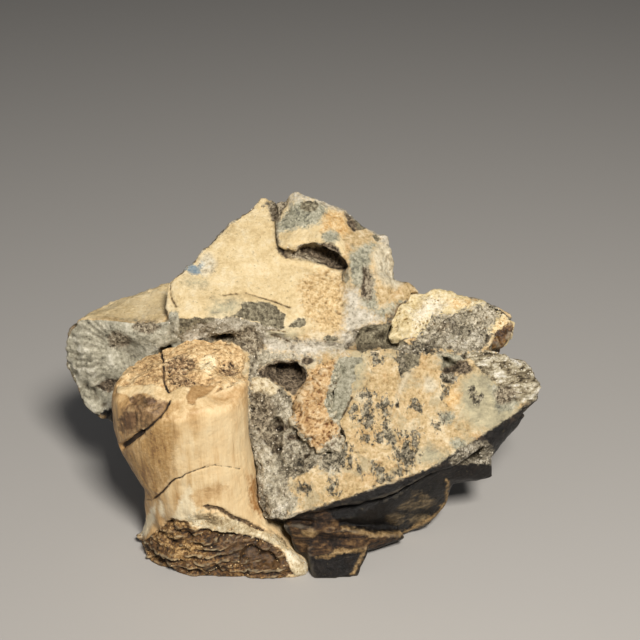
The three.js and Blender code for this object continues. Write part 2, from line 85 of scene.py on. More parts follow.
# Outlines of the patches on the stone's front: from and to which depth each one lies, then its corners, in
# millimetres along the rows of LEAN.
STONE_PATCHES = {
    "white": [
        (21, 30, [(-4, 98), (-3, 102.5), (3, 102), (14, 97), (22, 93), (28, 86), (26, 86), (21, 91),
         (14, 94.5), (3, 98.5), (0, 99), (-3, 98)]),
        (20, 45, [(14, 71), (17.5, 70), (18.5, 65), (25, 61), (18, 58), (15.5, 53), (12, 52), (11, 55),
         (13.5, 57.5), (13.5, 62)]),
        (36, 45, [(-11, 55), (-3, 54), (14, 53.5), (14, 50), (7, 50.5), (4.5, 49), (-10, 50.5),
         (-12, 52.5)]),
        (38, 46, oval(-33.5, 55.5, 2, 1)),
        (39, 48, [(-24.5, 57), (-20, 58.5), (-14.5, 55.5), (-20, 57.3), (-24, 56)]),
        (22, 31, oval(27, 86, 1.7, 1.8)),
        (28, 36, oval(74.7, 37, 1.6, 2.5)),
        (26, 37, oval(67.8, 49, 2.6, 1.1)),
    ],
    "pale": [
        # pale crust, and painted highlight: on a crest that catches the light (the first) and on a top face
        # turned from the light (the second)
        (23, 38, [(22, 81), (24.5, 85), (29, 84), (32.5, 73), (30.5, 70.5), (26, 71.5), (24, 74.5)]),
        (30, 41, oval(-30, 78, 3, 3.5)),
        (35, 43, oval(40, 40.5, 2, 2.4)),
        (35, 44, [(32, 44.5), (34.5, 45), (32, 39.5), (30, 35.5), (30.5, 40.5)]),
        (37, 44, oval(18.6, 36.2, 1.6, 1.7)),
    ],
    "porous": [
        (36, 45, [(1.5, 44.5), (12, 49.5), (8.5, 43), (6.5, 35), (3, 36), (-2, 33), (-2, 37)]),
        (36, 47, [(-3, 36), (0, 39.5), (3, 39.5), (8, 32), (11.5, 28), (11, 25), (6.5, 21.5), (3, 23),
         (-1, 29.5)]),
        (37, 47, oval(2, 18.8, 5, 2.8)),
    ],
    "olive": [
        (36, 47, [(-18.5, 66), (-10, 66), (-5, 62.5), (-5.5, 58), (-11, 59), (-17, 61), (-21, 62),
         (-18.5, 64)]),
        (36, 44, [(-4, 58.5), (-2.5, 60.5), (0, 61.5), (1.5, 60.8), (1, 59), (-1, 58)]),
        (28, 41, [(17, 53), (19, 58), (23, 59.5), (28.5, 59), (31, 54), (34.5, 52.5), (32, 51), (24, 52),
         (19, 50.5), (17, 51)]),
        (38, 45, oval(9, 54.7, 2.4, 0.9)),
        (23, 32, oval(2.5, 97, 3, 2)),
        (20, 29, oval(19, 92, 2.3, 2.2)),
        (22, 31, [(22.8, 88.3), (24.5, 88), (25.6, 86.4), (24, 85.6)]),
        (37, 50, [(-40, 63), (-38.5, 61), (-26, 61.3), (-27, 60), (-34, 58), (-37.5, 56.5), (-38.5, 53.5),
         (-41.5, 52), (-40.5, 57.5)]),
        (34, 42, [(32, 50), (37, 50.5), (37, 46.5), (31, 43.5), (30.5, 46)]),
    ],
    "dark": [
        # painted shade: pits, crevices and the hollow under the overhang, made darker where shade falls
        (23, 39, [(-0.5, 84), (9, 85), (11.5, 83), (14.5, 77), (12.5, 76.5), (7.5, 78.5), (5, 80.5),
         (-0.5, 82.5)]),
        (26, 35, [(-8, 83.3), (-6, 83), (-3, 80.5), (-5, 80), (-7.5, 82)]),
        (21, 31, [(14, 94.5), (15.5, 95), (18, 90), (16.5, 89), (14.5, 91.5)]),
        (25, 58, [(-66, 39), (-62, 41.5), (-55.5, 41.5), (-55.5, 39), (-63, 37)]),
        (30, 44, [(-13.5, 45), (-8, 48), (-2, 47.5), (1.5, 43.5), (0.5, 40.5), (-2.5, 37), (-5, 39.5),
         (-12, 43)]),
        (37, 44, oval(2, 47.8, 2, 1.2)),
        (31, 41, [(47.5, 46.5), (49.5, 48), (51.5, 47.5), (54, 45), (51.5, 43.5), (47, 44.5), (45, 43.5),
         (44, 45)]),
        (31, 40, [(19.7, 78), (20.5, 77), (20.3, 69), (19.3, 67), (18.6, 68), (19, 76.5)]),
        (34, 44, oval(-6, 27, 2, 1)),
        (37, 44, oval(-2.5, 24, 3, 1)),
    ],
    "shade": [
        (34, 45, [(-14.5, 32), (-12, 33), (-8, 28), (-6, 20), (-8.5, 18), (-13.5, 24)]),
        (37, 48, oval(-17, 55.5, 3.4, 3)),
        (31, 41, oval(64, 37, 3.7, 3.3)),
        (16, 30, [(-11, 97), (-9, 101), (-4.5, 100), (-7.5, 92.5), (-10, 93)]),
        (33, 47, [(-29, 54.5), (-23.5, 57), (-17.5, 56.5), (-12, 53.5), (-11.5, 52), (-16, 49.5),
         (-22, 54)]),
        (37, 45, oval(-12.5, 32, 4.2, 6.5)),
        (40, 48, oval(1, 8.5, 2.2, 0.9)),
        (30, 39, oval(43.5, 58.5, 3.2, 2)),
        (38, 47, oval(-48, 58.5, 4.4, 2)),
        (34, 44, oval(-57, 54, 4, 3)),
        (25, 42, oval(20.8, 72, 1.8, 6)),
        # painted shadow below the overhang's lip, darker towards the hollow
        (24, 39, [(-8, 83.5), (-3, 82.5), (0, 84), (6, 82.5), (10, 78), (5, 78.5), (-3, 80.5)]),
    ],
    "blue": [
        (31, 41, [(59, 40), (64, 40.5), (69, 38), (69.5, 34), (65.5, 31.5), (61, 33)]),
        (23, 34, [(-7.5, 92), (-4, 97), (-0.5, 99), (5, 99), (8.5, 96.5), (6, 91.5), (-3.5, 89),
         (-7.3, 88.3)]),
        (29, 39, oval(9, 86.5, 2.6, 2.3)),
        (26, 40, [(15, 81), (20, 85), (24.5, 85), (22.3, 81.5), (22, 76.5), (23, 71.5), (23, 67),
         (24.3, 64.3), (21.5, 63), (19, 65), (18.3, 70), (16, 72), (15, 76)]),
        (29, 41, [(42, 50.5), (50, 50), (51.5, 48.3), (45, 45), (43.5, 45), (42.5, 48)]),
        (32, 41, [(60.5, 40.5), (65, 34.7), (62.4, 31.6), (60.7, 36)]),
        (36, 44, oval(49, 22, 2.4, 1.8)),
        (36, 43, oval(45.4, 30.2, 2.4, 1.9)),
        (39, 48, oval(-3, 4, 2, 3)),
        (35, 44, oval(-13, 12, 1, 4.4)),
        (29, 39, [(24.5, 64.3), (32.5, 67), (26, 61.5), (23, 62), (22, 63.4)]),
    ],
    "wash": [
        (31, 42, [(50.5, 42.5), (54.5, 44.3), (59, 43.5), (65, 35.5), (69, 31.5), (65, 27.7), (59.5, 25.5),
         (53.3, 26.8), (50, 32), (49, 36)]),
        (35, 43, [(16, 50), (20, 50.5), (20.5, 46.5), (19, 40.3), (16, 37.2), (15.8, 42)]),
        (38, 49, [(-28.5, 64), (-26.5, 66.5), (-20, 66.7), (-18.6, 65), (-20, 62.7), (-28, 62)]),
        (37, 47, [(-14, 59.3), (-5, 57.2), (-0.5, 57.4), (-3.5, 53.7), (-12, 56)]),
        (37, 45, [(37, 20.2), (40, 21.7), (45.5, 18.6), (43, 16.2), (35.5, 16)]),
        (35, 44, oval(-33, 72.5, 3.4, 0.9)),
    ],
    "azure": [
        (32, 41, [(-36, 76.3), (-34.5, 78), (-32, 77), (-31.3, 75), (-33.8, 74.8)]),
        (32, 40, oval(-31.4, 78, 0.8, 0.9)),
    ],
    "wedge": [
        (35, 46, [(11.5, 48), (13, 49.3), (16, 49), (19.5, 50), (19.2, 47.7), (17, 46.2), (16.5, 43.7),
         (17, 42), (15.8, 40.5), (16, 38.5), (15, 37), (15.3, 35.3), (13, 31), (11.4, 27.5), (8, 31.5),
         (7.3, 33.6), (8, 38.2), (9.8, 45)]),
    ],
    "speckle": [
        (34, 42, oval(31.5, 47.5, 2.3, 4.2)),
        (34, 42, oval(23, 49.3, 1.8, 2.4)),
        (37, 44, oval(20, 37.2, 2.2, 1.4)),
        (37, 45, oval(16.7, 32, 0.9, 2)),
        (37, 45, oval(20.5, 31.2, 1.9, 4.7)),
        (37, 45, oval(25.5, 32, 1.9, 4.3)),
        (37, 44, oval(29.5, 34.6, 1, 1.2)),
        (37, 45, oval(28.6, 24.3, 2.5, 2.3)),
        (37, 45, oval(32.7, 23.4, 1.2, 2.3)),
        (37, 45, oval(32.6, 18.5, 4.2, 3.2)),
        (37, 45, oval(35.2, 23.8, 1.2, 2)),
        (37, 44, oval(35.5, 34.2, 1.3, 1.7)),
        (36, 44, oval(43.2, 28.7, 1.2, 2.7, -35)),
        (38, 46, oval(23.4, 14.2, 2.3, 2.4)),
        (39, 46, oval(17.8, 14, 0.9, 1.2)),
        (37, 46, oval(27.3, 11.7, 5.6, 1.3, 24)),
        (38, 45, oval(20, 23.3, 1.1, 1.9)),
        (38, 45, oval(24, 24.5, 1, 1.4)),
        (39, 47, [(6.4, 19.7), (9, 21.6), (13.5, 22), (16, 21), (15.5, 16.7), (13, 14.2), (6.4, 15)]),
        (39, 46, [(9, 26), (11.4, 24.7), (11.6, 21), (7.3, 19)]),
        (39, 48, oval(0, 8.7, 3.7, 1.4)),
        (40, 48, oval(9.8, 8.7, 1.2, 3.2)),
        (35, 42, oval(44.8, 39, 1.3, 3)),
        (34, 41, oval(54.2, 36.7, 1.6, 1.8)),
        (39, 46, oval(0.2, 29, 1.1, 1.4)),
    ],
    "ochre": [
        (22, 36, [(6.5, 95), (9, 96.5), (14, 95.5), (14, 92), (15.5, 89), (13, 87.2), (9, 89),
         (6.4, 88.3)]),
        (35, 42, oval(47.4, 36, 2.3, 2.3)),
        (32, 40, oval(65.2, 36.5, 1.5, 1.6)),
        (28, 38, [(22.3, 82), (24.3, 81), (23.8, 74.5), (22, 75.7)]),
        (35, 50, oval(-41, 59, 1.1, 2.8)),
    ],
    "cream": [
        (20, 48, [(-69, 61), (-65, 65.6), (-57, 69.6), (-49, 72.5), (-42, 74), (-40.5, 68), (-38.8, 64.8),
         (-42, 60.5), (-47, 60.5), (-61.5, 61.8)]),
        (16, 25, [(-16.3, 99.6), (-15, 101), (-12.8, 101.3), (-10.5, 99.7), (-13, 97.3), (-15.6, 97)]),
        (27, 38, [(-7.3, 88.3), (-3.5, 89), (6, 91.3), (7.4, 88), (6, 85.4), (-0.5, 84.8), (-4, 82),
         (-7, 83.4)]),
        (24, 43, [(14.7, 60), (20, 59.3), (17.7, 58.3), (15.8, 55), (13.6, 56)]),
    ],
    "granular": [
        (26, 41, [(41, 61.5), (50, 63.4), (55.5, 65), (62, 65.6), (64, 63), (58, 52.5), (56, 50.5),
         (50, 50.5), (34.5, 52.5), (37.5, 56.4)]),
        (35, 46, [(-16.5, 50.5), (-14, 50.3), (-12, 43), (-6.7, 40.3), (-2.6, 35.6), (-1.3, 31),
         (0.5, 26.5), (5, 23.5), (6.4, 20.4), (6.2, 18), (3.3, 14.3), (-3.5, 11), (-4.7, 5), (-4.1, 0.5),
         (-8.5, -3.6), (-12.5, -1), (-14, 10.5), (-15.5, 20), (-16.4, 38), (-16, 45)]),
        (32, 41, [(28.5, 52.3), (34.5, 52.6), (50, 50.5), (62.5, 50.8), (65, 50), (62.4, 48.6),
         (51.5, 48.6), (50, 50), (32.5, 50.2)]),
        (33, 42, oval(46.4, 42.7, 3, 2)),
    ],
    "ledge": [
        (26, 44, [(46, 17), (49.3, 20.7), (54, 22.4), (58.3, 22.7), (61, 19.4), (62, 13.8), (55, 15),
         (47, 15)]),
    ],
    "nodule": [
        (37, 45, [(-16.2, 41), (-13.7, 43.2), (-10.4, 42.5), (-7, 39.7), (-7.6, 37.8), (-12, 35.4),
         (-14.6, 37)]),
    ],
    "layered": [
        (28, 40, [(51.5, 50.2), (62.5, 50.8), (69.5, 48.7), (74.4, 44), (76, 37.7), (73.3, 34.5),
         (69.5, 34), (65.5, 36.6), (59, 43), (56, 44.6)]),
    ],
    "slab": [
        (38, 50, [(-39.5, 63.3), (-38.3, 61), (-24.5, 61.2), (-20.4, 61.8), (-15, 60.2), (-5, 57.7),
         (-9.6, 57.4), (-11.5, 55.6), (-10.3, 54.3), (-12.2, 52.5), (-14.6, 55.6), (-20, 57.8),
         (-29.8, 54.6), (-41.4, 52.2), (-40.7, 57.4)]),
    ],
    "spongy": [
        (30, 44, [(-1, 71), (1, 74.5), (6, 76.5), (11, 76), (13.4, 73), (13.3, 58), (10.8, 56), (5, 58),
         (0.8, 61.8)]),
    ],
    "brown": [
        (27, 44, [(-5, -2), (6, 2), (9, 0.5), (13.5, -4.5), (31.5, -8.5), (24.5, -13), (20.5, -11.5),
         (10.5, -11.5), (6.5, -13.5), (0, -12.5), (-2.5, -8.5)]),
    ],
    "rim": [
        (20, 28, oval(-65, 28.4, 1.7, 1.4)),
        (15, 33, [(46, 9.7), (47, 9.2), (47.3, 2), (44.6, -2.7), (38.6, -6.5), (33, -9.4), (32, -8.5),
         (37.7, -5.6), (43.7, -2), (46.5, 2.3)]),
        (22, 42, [(12.5, -3.6), (23.5, -6.9), (34, -8), (32.8, -8.9), (22, -7.8), (12.6, -4.6)]),
        (35, 43, oval(2.6, -5.8, 2.5, 1.5)),
        (32, 41, [(5.2, -13.9), (12, -11.2), (20.3, -10.9), (20, -12), (11.4, -12.8), (7.7, -14)]),
        (32, 39, [(20.6, -11.5), (16.8, -19.4), (15.5, -19.3), (19, -12)]),
    ],
    "gloss": [
        (17, 46, [(9, 0), (13.5, 3.5), (24.3, 8.6), (30.6, 10.6), (49, 9.4), (47.7, 3.3), (45, -1.4),
         (41.7, -4.8), (37, -7.5), (31.5, -8), (13.6, -4.4)]),
    ],
    "arcs": [
        # painted sheen: brown-grey arcs on the glossy black face beneath the slab
        (21, 36, oval(37, 1.6, 6.5, 2)),
        (26, 37, oval(37.6, 4.8, 3, 0.7, -27)),
        (23, 35, oval(30, -3, 3.4, 1.7, -20)),
        (17, 28, oval(38.4, -4.5, 4, 1.8)),
    ],
    "frost": [
        (37, 45, [(-15.3, 51.6), (-3.5, 50.3), (4.5, 48.7), (5.8, 47.5), (1.4, 46), (-1.7, 47.8),
         (-8.2, 48), (-15, 44.4)]),
        (36, 47, [(-12.2, 20.7), (-8.2, 20), (-5.4, 11), (-0.4, 3.6), (-3.5, 1.3), (-9, 3), (-12.2, 7.7),
         (-13.5, 13.8)]),
        (39, 47, oval(9, 17, 4.2, 4.2)),
        (37, 45, oval(-12.7, 33.3, 2.4, 4)),
        (36, 46, oval(-3.8, 30.4, 2.8, 3.8)),
    ],
    "black": [
        (20, 60, [(-66.5, 29), (-64, 31.5), (-57, 34), (-54.5, 31.5), (-55, 28), (-65.5, 26.5)]),
        (27, 41, [(57.7, 22.7), (59.4, 25.4), (70.4, 29.6), (67.4, 24.8), (62, 16.2), (59.8, 19.2)]),
        (27, 37, [(69.3, 31.8), (72, 33.6), (74.6, 34.8), (73.3, 32.6), (69.7, 30.5)]),
        (30, 41, [(0, -13.3), (6.4, -14), (10.5, -12), (15.2, -11.3), (19, -12), (15.2, -20), (13.6, -21.2),
         (-1, -21.2), (-1, -14.8)]),
        (23, 45, [(30.6, 10.6), (43, 15.3), (48, 15.7), (58.3, 14), (62, 12.4), (61.2, 8.7), (57.2, 7.8),
         (47.4, 8.3)]),
    ],
}
# Planes through the slab's lower edge: (normal, offset in mm). Below them the broken stone is painted almost
# black: dark stone with painted shade.
SLAB_FOOT = (((-0.323, 0.586, 0.743), -5.22), ((-0.536, 0.539, 0.650), -15.29))
COAT_LOOK = Vector((0.06, -0.62, 0.78))  # the way that the coated faces look
STRUCK_AT = (-54.0, 62.0)  # x and z in mm of the point from which the left end's break spreads


# ------------------------------------------------------------------ small mathematics on arrays of points
def smooth_step(low, high, x):
    """0 up to the low end, 1 from the high end on, and a soft step between."""
    t = np.clip((x - low) / (high - low), 0, 1)
    return t * t * (3 - 2 * t)


# Large odd factors that stir a cell's three numbers and a seed into one.
STIR = [np.uint32(factor) for factor in (374761393, 668265263, 2246822519)]
STIR_SEED = 3266489917
TEN_BITS, SIXTEEN_BITS, ALL_BITS = 0x3FF, 0xFFFF, 0xFFFFFFFF


def lattice_hash(cell, seed):
    """A repeatable pseudo-random 32-bit number for each whole-number cell."""
    c = cell.astype(np.int64).astype(np.uint32)
    h = c[:, 0] * STIR[0] + c[:, 1] * STIR[1] + c[:, 2] * STIR[2]
    h = h + np.uint32((seed * STIR_SEED) & ALL_BITS)
    h = (h ^ (h >> np.uint32(15))) * STIR[2]
    h = (h ^ (h >> np.uint32(13))) * np.uint32(STIR_SEED)
    return h ^ (h >> np.uint32(16))


def random_vector(h):
    """Three numbers from -1 to 1 out of each hash."""
    parts = [(h >> np.uint32(shift)) & np.uint32(TEN_BITS) for shift in (0, 10, 20)]
    return np.stack(parts, 1) / (TEN_BITS / 2) - 1.0


CORNERS = [(x, y, z) for x in (0, 1) for y in (0, 1) for z in (0, 1)]
NOISE_GAIN = 1.4  # brings the noise's usual range to about -1 to 1


def noise(points, wavelength, seed):
    """Gradient noise of about -1 to 1."""
    q = points / wavelength
    cell = np.floor(q)
    f = q - cell
    fade = f * f * f * (f * (f * 6 - 15) + 10)
    total = np.zeros(len(points))
    for corner in CORNERS:
        offset = np.array(corner)
        gradient = random_vector(lattice_hash(cell + offset, seed))
        weight = np.prod(np.where(offset == 1, fade, 1 - fade), axis=1)
        total += weight * np.sum(gradient * (f - offset), axis=1)
    return total * NOISE_GAIN


def fractal(points, wavelength, octaves, gain=0.5, seed=0):
    """Noise with finer noise on it: half as long in each octave, and as high as the gain says."""
    total = np.zeros(len(points))
    for k in range(octaves):
        total += gain**k * noise(points, wavelength / 2**k, seed + k)
    return total


def drift(points, wavelength, seed, gain=0.6):
    """Three fractals at once, to bend the places at which something is measured."""
    return np.stack([fractal(points, wavelength, 3, gain, seed + k) for k in range(3)], 1)


TURN = np.array([[0.36, 0.48, -0.8], [-0.8, 0.6, 0.0], [0.48, 0.64, 0.6]])  # keeps facets off the axes


def broken(points, size, seed):
    """Height from -1 to 1 of a hackly break: flat facets of about this size that meet in sharp creases."""
    bend = np.stack([noise(points, 2.3 * size, seed + k) for k in (1, 2, 3)], 1)
    q = (points @ TURN.T) / size + 0.55 * bend
    base = np.floor(q)
    f = q - base
    order = np.argsort(-f, axis=1)
    sizes = np.take_along_axis(f, order, axis=1)
    steps = -np.diff(sizes, axis=1, prepend=1.0, append=0.0)
    corner = base.copy()
    rows = np.arange(len(q))
    total = np.zeros(len(q))
    for k in range(4):
        value = (lattice_hash(corner, seed) & np.uint32(SIXTEEN_BITS)) / (SIXTEEN_BITS / 2) - 1.0
        total += steps[:, k] * value
        if k < 3:
            corner[rows, order[:, k]] += 1
    return total


FIELD_RANGE = (-6.0, 9.0)  # the distances in millimetres that a skin carries for a zone
FINE_BORDER = 0.8  # millimetres from a zone's edge within which the skin stays fine
FAR_AWAY = 99.0
ROUND_ABOUT, BEFORE_AND_BEHIND = 6.0, 3.0  # how far from an outline the distance to it is worked out


def stroke_distance(points, strokes):
    """Signed distance in millimetres to the nearest stroke, negative inside."""
    best = np.full(len(points), FAR_AWAY)
    for radius, path in strokes:
        path = [np.array(p, float) for p in path]
        for a, b in zip(path[:-1], path[1:]):
            along = b - a
            t = np.clip((points - a) @ along / (along @ along), 0, 1)
            d = np.linalg.norm(points - a - t[:, None] * along, axis=1)
            best = np.minimum(best, d - radius)
    return best


def outline_distance(points, outlines):
    """Signed distance in millimetres to the nearest outline, negative inside."""
    across, up, out = LEAN @ points.T
    best = np.full(len(points), FIELD_RANGE[1])
    for near, far, corners in outlines:
        corners = np.array(corners)
        low, high = corners.min(0) - ROUND_ABOUT, corners.max(0) + ROUND_ABOUT
        here = np.flatnonzero((across > low[0]) & (across < high[0]) & (up > low[1]) & (up < high[1])
                              & (out > near - BEFORE_AND_BEHIND) & (out < far + BEFORE_AND_BEHIND))
        x, y = across[here], up[here]
        d = np.full(len(here), FAR_AWAY)
        within = np.zeros(len(here), bool)
        for a, b in zip(corners, np.roll(corners, -1, axis=0)):
            along = b - a
            t = np.clip(((x - a[0]) * along[0] + (y - a[1]) * along[1]) / (along @ along), 0, 1)
            d = np.minimum(d, np.hypot(x - a[0] - t * along[0], y - a[1] - t * along[1]))
            if a[1] != b[1]:
                left = x < a[0] + along[0] * (y - a[1]) / along[1]
                within ^= ((a[1] > y) != (b[1] > y)) & left
        signed = np.maximum.reduce([np.where(within, -d, d), near - out[here], out[here] - far])
        best[here] = np.minimum(best[here], signed)
    return best


# ------------------------------------------------------------------ meshes as arrays
class Skin:
    """A mesh's vertices in millimetres, with the arithmetic that shapes and paints them."""

    def __init__(self, obj):
        self.obj = obj
        mesh = obj.data
        self.points = np.zeros(len(mesh.vertices) * 3)
        mesh.vertices.foreach_get("co", self.points)
        self.points = self.points.reshape(-1, 3) / MM
        edges = np.zeros(len(mesh.edges) * 2, np.int64)
        mesh.edges.foreach_get("vertices", edges)
        self.edges = edges.reshape(-1, 2)
        count = len(self.points)
        self.valence = np.maximum(np.bincount(self.edges.ravel(), minlength=count), 1)

    def spread(self, values, times):
        """Averages values, one row for each vertex, with their neighbours."""
        a, b = self.edges.T
        flat = values.reshape(len(self.points), -1)
        for _ in range(times):
            total = np.zeros_like(flat)
            for k in range(flat.shape[1]):
                total[:, k] = np.bincount(a, flat[b, k], len(flat)) + np.bincount(b, flat[a, k], len(flat))
            flat = 0.5 * flat + 0.5 * total / self.valence[:, None]
        return flat.reshape(values.shape)

    def normals(self, times):
        """Outward directions, averaged with their neighbours this many times."""
        self.write()
        n = np.zeros(len(self.points) * 3)
        self.obj.data.vertices.foreach_get("normal", n)
        n = self.spread(n.reshape(-1, 3), times)
        return n / np.linalg.norm(n, axis=1)[:, None]

    def write(self):
        """Hands the points back to the mesh."""
        self.obj.data.vertices.foreach_set("co", (self.points * MM).ravel())
        self.obj.data.update()

    def paint(self, name, values):
        """Gives the mesh a value at each vertex, which its material reads by this name."""
        layer = self.obj.data.attributes.new(name, "FLOAT", "POINT")
        layer.data.foreach_set("value", np.asarray(values, np.float32))

    def paint_depth(self, name, smoothed, normals):
        """Paints how deep each point lies below the smoothed skin."""
        self.paint(name, np.sum((smoothed - self.points) * normals, axis=1))

    def paint_zones(self, zones, bordered, seen=True):
        """Paints the distances to the zones, and marks what is near the bordered ones' edges as fine."""
        for name, field in zones.items():
            self.paint(name, field)
        border = np.minimum.reduce([np.abs(zones[name]) for name in bordered])
        self.paint("fine", (border < FINE_BORDER) & seen)


def new_object(name, data):
    """An object of this name, in the scene."""
    obj = bpy.data.objects.new(name, data)
    bpy.context.scene.collection.objects.link(obj)
    return obj


def painted_values(mesh, name):
    """The values that a mesh carries under this name."""
    values = np.zeros(len(mesh.vertices), np.float32)
    mesh.attributes[name].data.foreach_get("value", values)
    return values


def applied(obj):
    """Replaces the object's mesh by what its modifiers make of it."""
    old = obj.data
    made = bpy.data.meshes.new_from_object(obj.evaluated_get(bpy.context.evaluated_depsgraph_get()))
    obj.modifiers.clear()
    obj.data = made
    bpy.data.meshes.remove(old)
    made.name = obj.name


def remeshed_copy(node, name, voxel, plugs=()):
    """A new object on the node's form with its plugs, as an even skin of small quads."""
    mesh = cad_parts[node].data.copy()
    whole = bmesh.new()
    whole.from_mesh(mesh)
    for corners in plugs:
        verts = [whole.verts.new(Vector(corner) * MM) for corner in corners]
        bmesh.ops.convex_hull(whole, input=verts)
    whole.to_mesh(mesh)
    whole.free()
    obj = new_object(name, mesh)
    weld = obj.modifiers.new("weld", "WELD")
    weld.merge_threshold = 0.01 * MM
    remesh = obj.modifiers.new("even", "REMESH")
    remesh.mode = "VOXEL"
    remesh.voxel_size = voxel
    applied(obj)
    obj.data.materials.clear()
    return obj


def thinned(obj, triangles):
    """Takes faces away, from plain places rather than from fine ones, until this many triangles are left."""
    now = sum(len(polygon.vertices) - 2 for polygon in obj.data.polygons)
    if now > triangles:
        fewer = obj.modifiers.new("fewer", "DECIMATE")
        fewer.ratio = triangles / now
        if "fine" in obj.data.attributes:
            plain = obj.vertex_groups.new(name="plain")
            plain.add(np.flatnonzero(painted_values(obj.data, "fine") < 0.5).tolist(), 1.0, "REPLACE")
            fewer.vertex_group = plain.name
            fewer.vertex_group_factor = 4.0
        applied(obj)
        obj.vertex_groups.clear()
    for polygon in obj.data.polygons:
        polygon.use_smooth = True


def hand_in(obj, node=None):
    """Hangs the piece on the body's empty, and hides the CAD part of its node if one is given."""
    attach(obj, BODY)
    if node:
        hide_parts(node)


# ------------------------------------------------------------------ the stone
# Cement that fills the crevices between the ramp and the ridge and beside the lobe: each block's corners, in
# millimetres.
STONE_PLUGS = [
    [(x, y, z) for x in (13.6, 15.9)
     for y, z in ((8.6, 85), (8.0, 79.5), (5.4, 74.5), (12, 85), (12, 74.5))],
    [(12.5, 5.8, 77.6), (12.5, 2.8, 75), (12.5, -0.9, 72.2), (12.5, -4, 70.2), (12.6, -6.6, 68.2),
     (12.6, -7.9, 66.4), (12.6, -7.5, 63.5), (13.6, 9, 75.5), (13.6, 9, 63), (16.5, 3.8, 78.7),
     (17.3, 1.9, 76.2), (17.1, 0.1, 73.5), (17.1, -1.4, 70.9), (17.3, -2.8, 68.1), (17.4, -3.4, 64.6),
     (17, 9, 78), (17, 9, 63)],
    [(-44.5, -6.6, 73.2), (-38.6, -9.1, 74.2), (-44.5, -8.2, 69.5), (-38.9, -8.5, 69.5), (-44.6, -8.9, 66),
     (-38.9, -8, 65.4), (-44.5, 2, 73.2), (-38.6, 2, 74), (-44.5, 2, 63), (-39, 2, 63)],
]
# Grooves and lumps too small for the blocks: (height, radius, [points]) in millimetres. A groove's height is
# below zero.
STONE_MARKS = [
    (0.6, 0.9, [(-8.5, 14.7, 86.4), (-5.3, 13.1, 85.1), (-1.5, 12.6, 83.6), (5.8, 13.5, 82.4),
     (10.6, 11.9, 80.7)]),
    (-0.6, 0.3, [(15.7, -16.7, 51.6), (14.8, -17.8, 50.4), (13.9, -19.3, 48.8), (12.9, -20.2, 47.6),
     (12.3, -21, 46.6)]),
    (-0.45, 0.4, [(-24.3, -1.4, 79.7), (-22.2, -0.7, 79.5), (-19.7, -0.3, 79.4)]),
    (-0.55, 0.4, [(-17.3, 0.3, 79.4), (-14.5, 0.3, 78.7), (-12.3, 0.2, 78), (-9.8, 0.2, 77.2),
     (-7.6, -0.2, 76.5), (-5.5, -0.6, 75.7), (-3.6, -0.8, 75)]),
    (-0.45, 0.4, [(-9.6, -8.8, 71.4), (-7.5, -8.7, 71.2), (-5, -8.5, 70.5)]),
    (-0.45, 0.4, [(-9.1, -8.8, 69.2), (-6.6, -8.5, 68.4), (-3.5, -8.4, 66.8)]),
    (-0.9, 0.5, [(-41.8, 2, 82.6), (-41.3, -0.6, 81.4), (-40.2, -3.6, 79.8), (-38.5, -6, 78.3)]),
    (1.6, 2.2, [(-1.5, 25, 99)]),
    (0.9, 1.6, [(-12, 33, 98)]),
    (1.3, 2.4, [(-12, -15.5, 54.5), (-10, -17, 52.5)]),
    (-1.5, 2.0, [(-70, -5, 47), (-64, -7, 41)]),
    (1.6, 2.0, [(41.5, -9, 60), (44, -9, 60)]),
]


def along_marks(p, marks):
    """Sum of the marks' heights at each point, with soft sides."""
    total = np.zeros(len(p))
    for height, radius, path in marks:
        if len(path) == 1:  # a lump is a very short line
            path = [path[0], tuple(c + 0.01 for c in path[0])]
        d = stroke_distance(p, [(0.0, path)])
        total += height * (1 - smooth_step(0, 2 * radius, d))
    return total


def kept_in_range(fields):
    """The same distances, cut off where nothing reads them any more."""
    return {name: np.clip(field, *FIELD_RANGE) for name, field in fields.items()}


def zone_fields(p, normals):
    """Signed distance in millimetres to each of the stone's zones, negative inside."""
    wander = drift(p, 7, 60, 0.5)
    frayed = p + 0.45 * drift(p, 2.6, 64)
    fields = {name: stroke_distance(p + 1.5 * wander, strokes) for name, strokes in STONE_ZONES.items()}
    for name, outlines in STONE_PATCHES.items():
        fields[name] = outline_distance(frayed, outlines)
    # the coat lies on what looks up and forward, but not on the back and not below the slab
    facing = normals @ np.array(COAT_LOOK.normalized())
    coat = (0.76 - facing) * 22 + 1.2 * fractal(p, 9, 3, seed=5)
    coat = np.minimum(np.maximum(coat, (p[:, 1] - 30) * 0.6), fields.pop("more_coat"))
    below = np.minimum.reduce([p @ np.array(normal) - offset for normal, offset in SLAB_FOOT])
    fields["coat"] = np.maximum(coat, -below)
    # the ramp's coat is cream all over
    ramp = np.maximum(coat, np.maximum(70 - p[:, 2], p[:, 0] - 13) + 1.5 * wander[:, 0])
    fields["cream"] = np.minimum(fields["cream"], np.maximum(ramp, -40.5 - p[:, 0]))
    # the left end's break is bare only where it looks forward
    front = (0.55 + normals[:, 1]) * 14
    fields["shell"] = np.maximum(np.maximum(fields["shell"], front), np.maximum(p[:, 0] + 37.5, p[:, 2] - 78))
    # almost black: dark stone with painted shade, on the base below the slab and on what looks down in the
    # lower part
    base = np.maximum.reduce([below, -11 - p[:, 0], p[:, 1] - 6, 0.8 - 14 * (0.2 - normals[:, 1])])
    under = np.maximum((normals[:, 2] + 0.35) * 12, p[:, 2] - 60)
    fields["soot"] = np.minimum(base, under)
    cracks = [(0.0, path) for height, _radius, path in STONE_MARKS if height < 0 and len(path) > 1]
    fields["crack"] = stroke_distance(p + 0.3 * wander, cracks)
    return kept_in_range(fields)


def inside(field, soft=0.8):
    """1 inside a zone and 0 outside, with a soft edge in millimetres."""
    return 1 - smooth_step(-soft, soft, field)


